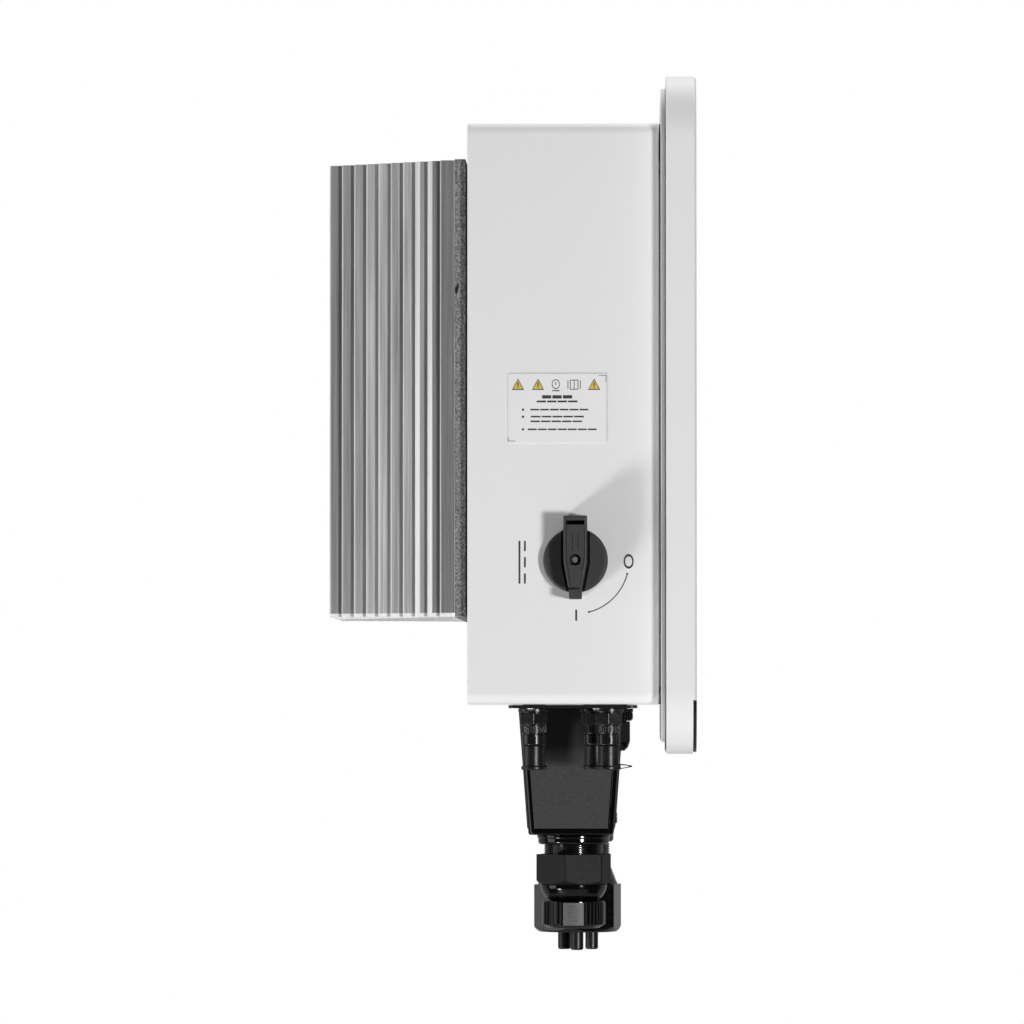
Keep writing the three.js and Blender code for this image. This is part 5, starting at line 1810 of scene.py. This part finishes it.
# the pads carry a painted sheen: their lighter grey stands for light on the flats
piece(
    "data_gland_nut_pads",
    nut_pads(22.1, nut_top + 0.6, nut_end - 2.0, count=4, share=0.42, turn=NUT_TURN, rise=0.8),
    data_gland, pad_sheen_plastic, "data_nut",
)
data_seal_top = bowl_end + DATA["spigot"] + GAP
data_seal_bottom = nut_end - GAP - FLOORS["data"]
piece(
    "data_gland_rubber",
    turned([(0, data_seal_top), (14.8, data_seal_top), (14.8, data_seal_bottom - 0.2),
            (9.8, data_seal_bottom), (9.8, data_seal_bottom + 2.2), (8.2, data_seal_bottom + 3.2),
            (5.6, data_seal_bottom + 2.4), (0, data_seal_bottom + 2.2)], 0.5, 64),
    data_gland, rubber, "data_seal", ["data_gland_seal"],
)

# %% Nut, seal and plugs of the larger gland
FINGERS = {"radius": 4.7, "ring": 11.6, "reach": 17.2, "turn": -58}
ac_nut_top = cone_end + GAP
ac_nut_end = ac_nut_top + 34.7
hexagon_piece(
    "ac_gland_nut_hexagon", radius=34.2, turn=9, low=ac_nut_top, high=ac_nut_end, chamfer=HEX_CHAMFER,
    place=ac_gland, finish=gloss_black, body="ac_nut", hollow=24.3,
)
piece(
    "ac_gland_nut_floor",
    nut_ring(25.5, ac_nut_top + 20, ac_nut_end - 0.2, FLOORS["ac"], hollow=24.2, mouth=17.5, chamfer=0.6),
    ac_gland, gloss_black, "ac_nut", ["ac_gland_nut"],
)
ac_seal_top = cone_end + AC["spigot"] + GAP
ac_seal_bottom = ac_nut_end - GAP - FLOORS["ac"]
plug_end = ac_seal_bottom + FINGERS["reach"]
finger = turned([
    (0, ac_seal_bottom - 1), (FINGERS["radius"], ac_seal_bottom - 1),
    (FINGERS["radius"], plug_end - 0.9), (FINGERS["radius"] - 0.9, plug_end),
    (2.0, plug_end), (1.6, plug_end - 0.8), (0, plug_end - 0.8),
], 0.4, 40)
fingers = []
for plug in range(3):
    angle = math.radians(FINGERS["turn"] + 120 * plug)
    fingers.append(shifted(finger, FINGERS["ring"] * math.cos(angle), FINGERS["ring"] * math.sin(angle)))
seal_disc = turned(
    [(0, ac_seal_top), (23.8, ac_seal_top), (23.8, ac_seal_bottom), (0, ac_seal_bottom)], 0.4, 64
)
piece("ac_gland_rubber", together(seal_disc, *fingers), ac_gland, cap_rubber, "ac_seal",
      ["ac_gland_seal"])

# %% [markdown]
# ## Studio
#
# The machine hangs free in front of white. Four softboxes light it: the key stands on the camera's side
# and to the right, and throws the knob's shadow to the left. The fill comes from the lower left, behind
# the fins. A low strip shines on the fins' tips from straight behind the machine, and a broad lamp hangs
# above. Of the light from everywhere, most comes from beyond the machine, where the black plastics mirror
# it at their edges. The floor lies well below and is pale and matt. The camera stands four and a half
# metres away with a long lens, level with the lower third of the machine, so its sides stay nearly
# parallel.

# %% Floor
floor_mesh = bpy.data.meshes.new("floor")
FLOOR = {"half": 2.6, "z": -2.6}
floor_mesh.from_pydata(
    [(x * FLOOR["half"], y * FLOOR["half"], FLOOR["z"]) for x, y in ((-1, -1), (1, -1), (1, 1), (-1, 1))],
    [], [(0, 1, 2, 3)],
)
floor = bpy.data.objects.new("floor", floor_mesh)
bpy.context.scene.collection.objects.link(floor)
floor_paint = Finish("floor_paint", **{"Roughness": 0.8})
floor_paint.wire(Base_Color=floor_paint.mixed(floor_paint.noise(1.5), shade(216), shade(220)))
floor_mesh.materials.append(floor_paint.material)

# %% Light from everywhere
scene = bpy.context.scene
scene.view_settings.view_transform = "Standard"
world = bpy.data.worlds.new("white studio")
world.use_nodes = True
scene.world = world
room = Recipe(world.node_tree)
world.node_tree.nodes.clear()
seen = room.node("ShaderNodeLightPath", output="Is Camera Ray")
AMBIENT, BACKDROP, BEYOND = 0.03, 1.0, 0.35
[away] = room.axes(room.node("ShaderNodeTexCoord", output="Generated"), "X")
unseen = away.above(0.3, 0.15) * (BEYOND - AMBIENT) + AMBIENT
glow = room.node(
    "ShaderNodeBackground",
    inputs={"Color": (1.0, 1.0, 1.0, 1.0), "Strength": seen * BACKDROP + (1 - seen) * unseen},
)
room.node("ShaderNodeOutputWorld", inputs={"Surface": glow})

# %% Lamps
MACHINE = Vector((-0.155, -0.16, -0.22))
# The way from the machine to each lamp, its distance, width and height in metres, and its watts.
LAMPS = {
    "key": ((-1, -0.557, -0.128), 3.5, 0.4, 0.4, 77),
    "fill": ((-1, 1.6, -1.3), 3.4, 0.58, 0.58, 60),
    "strip": ((-0.12, 1, -0.1), 1.6, 0.8, 1.2, 7),
    "top": ((0.25, 0, 1), 1.8, 1.6, 1.6, 29),
}


def softbox(name, direction, distance, width, height, watts):
    """An area lamp that looks at the machine from a direction."""
    lamp = bpy.data.lights.new(name, "AREA")
    lamp.shape = "RECTANGLE"
    lamp.size, lamp.size_y, lamp.energy = width, height, watts
    holder = bpy.data.objects.new(name, lamp)
    scene.collection.objects.link(holder)
    way = Vector(direction).normalized()
    holder.location = MACHINE + way * distance
    holder.rotation_euler = way.to_track_quat("Z", "Y").to_euler()
    return holder


for name, lamp in LAMPS.items():
    softbox(name, *lamp)
print("lamps:", ", ".join(LAMPS))

# %% Camera
CAMERA = {"place": (-4.655, -0.2203, -0.3406), "aim": (-0.155, -0.1307, -0.2090), "lens": 226.7}
camera_data = bpy.data.cameras.new("camera")
camera_data.lens = CAMERA["lens"]
camera_data.sensor_width = 36.0
camera = bpy.data.objects.new("camera", camera_data)
scene.collection.objects.link(camera)
camera.location = CAMERA["place"]
look = Vector(CAMERA["aim"]) - Vector(CAMERA["place"])
camera.rotation_euler = look.to_track_quat("-Z", "Y").to_euler()
scene.camera = camera
print("camera looks along", [round(value, 3) for value in look.normalized()])
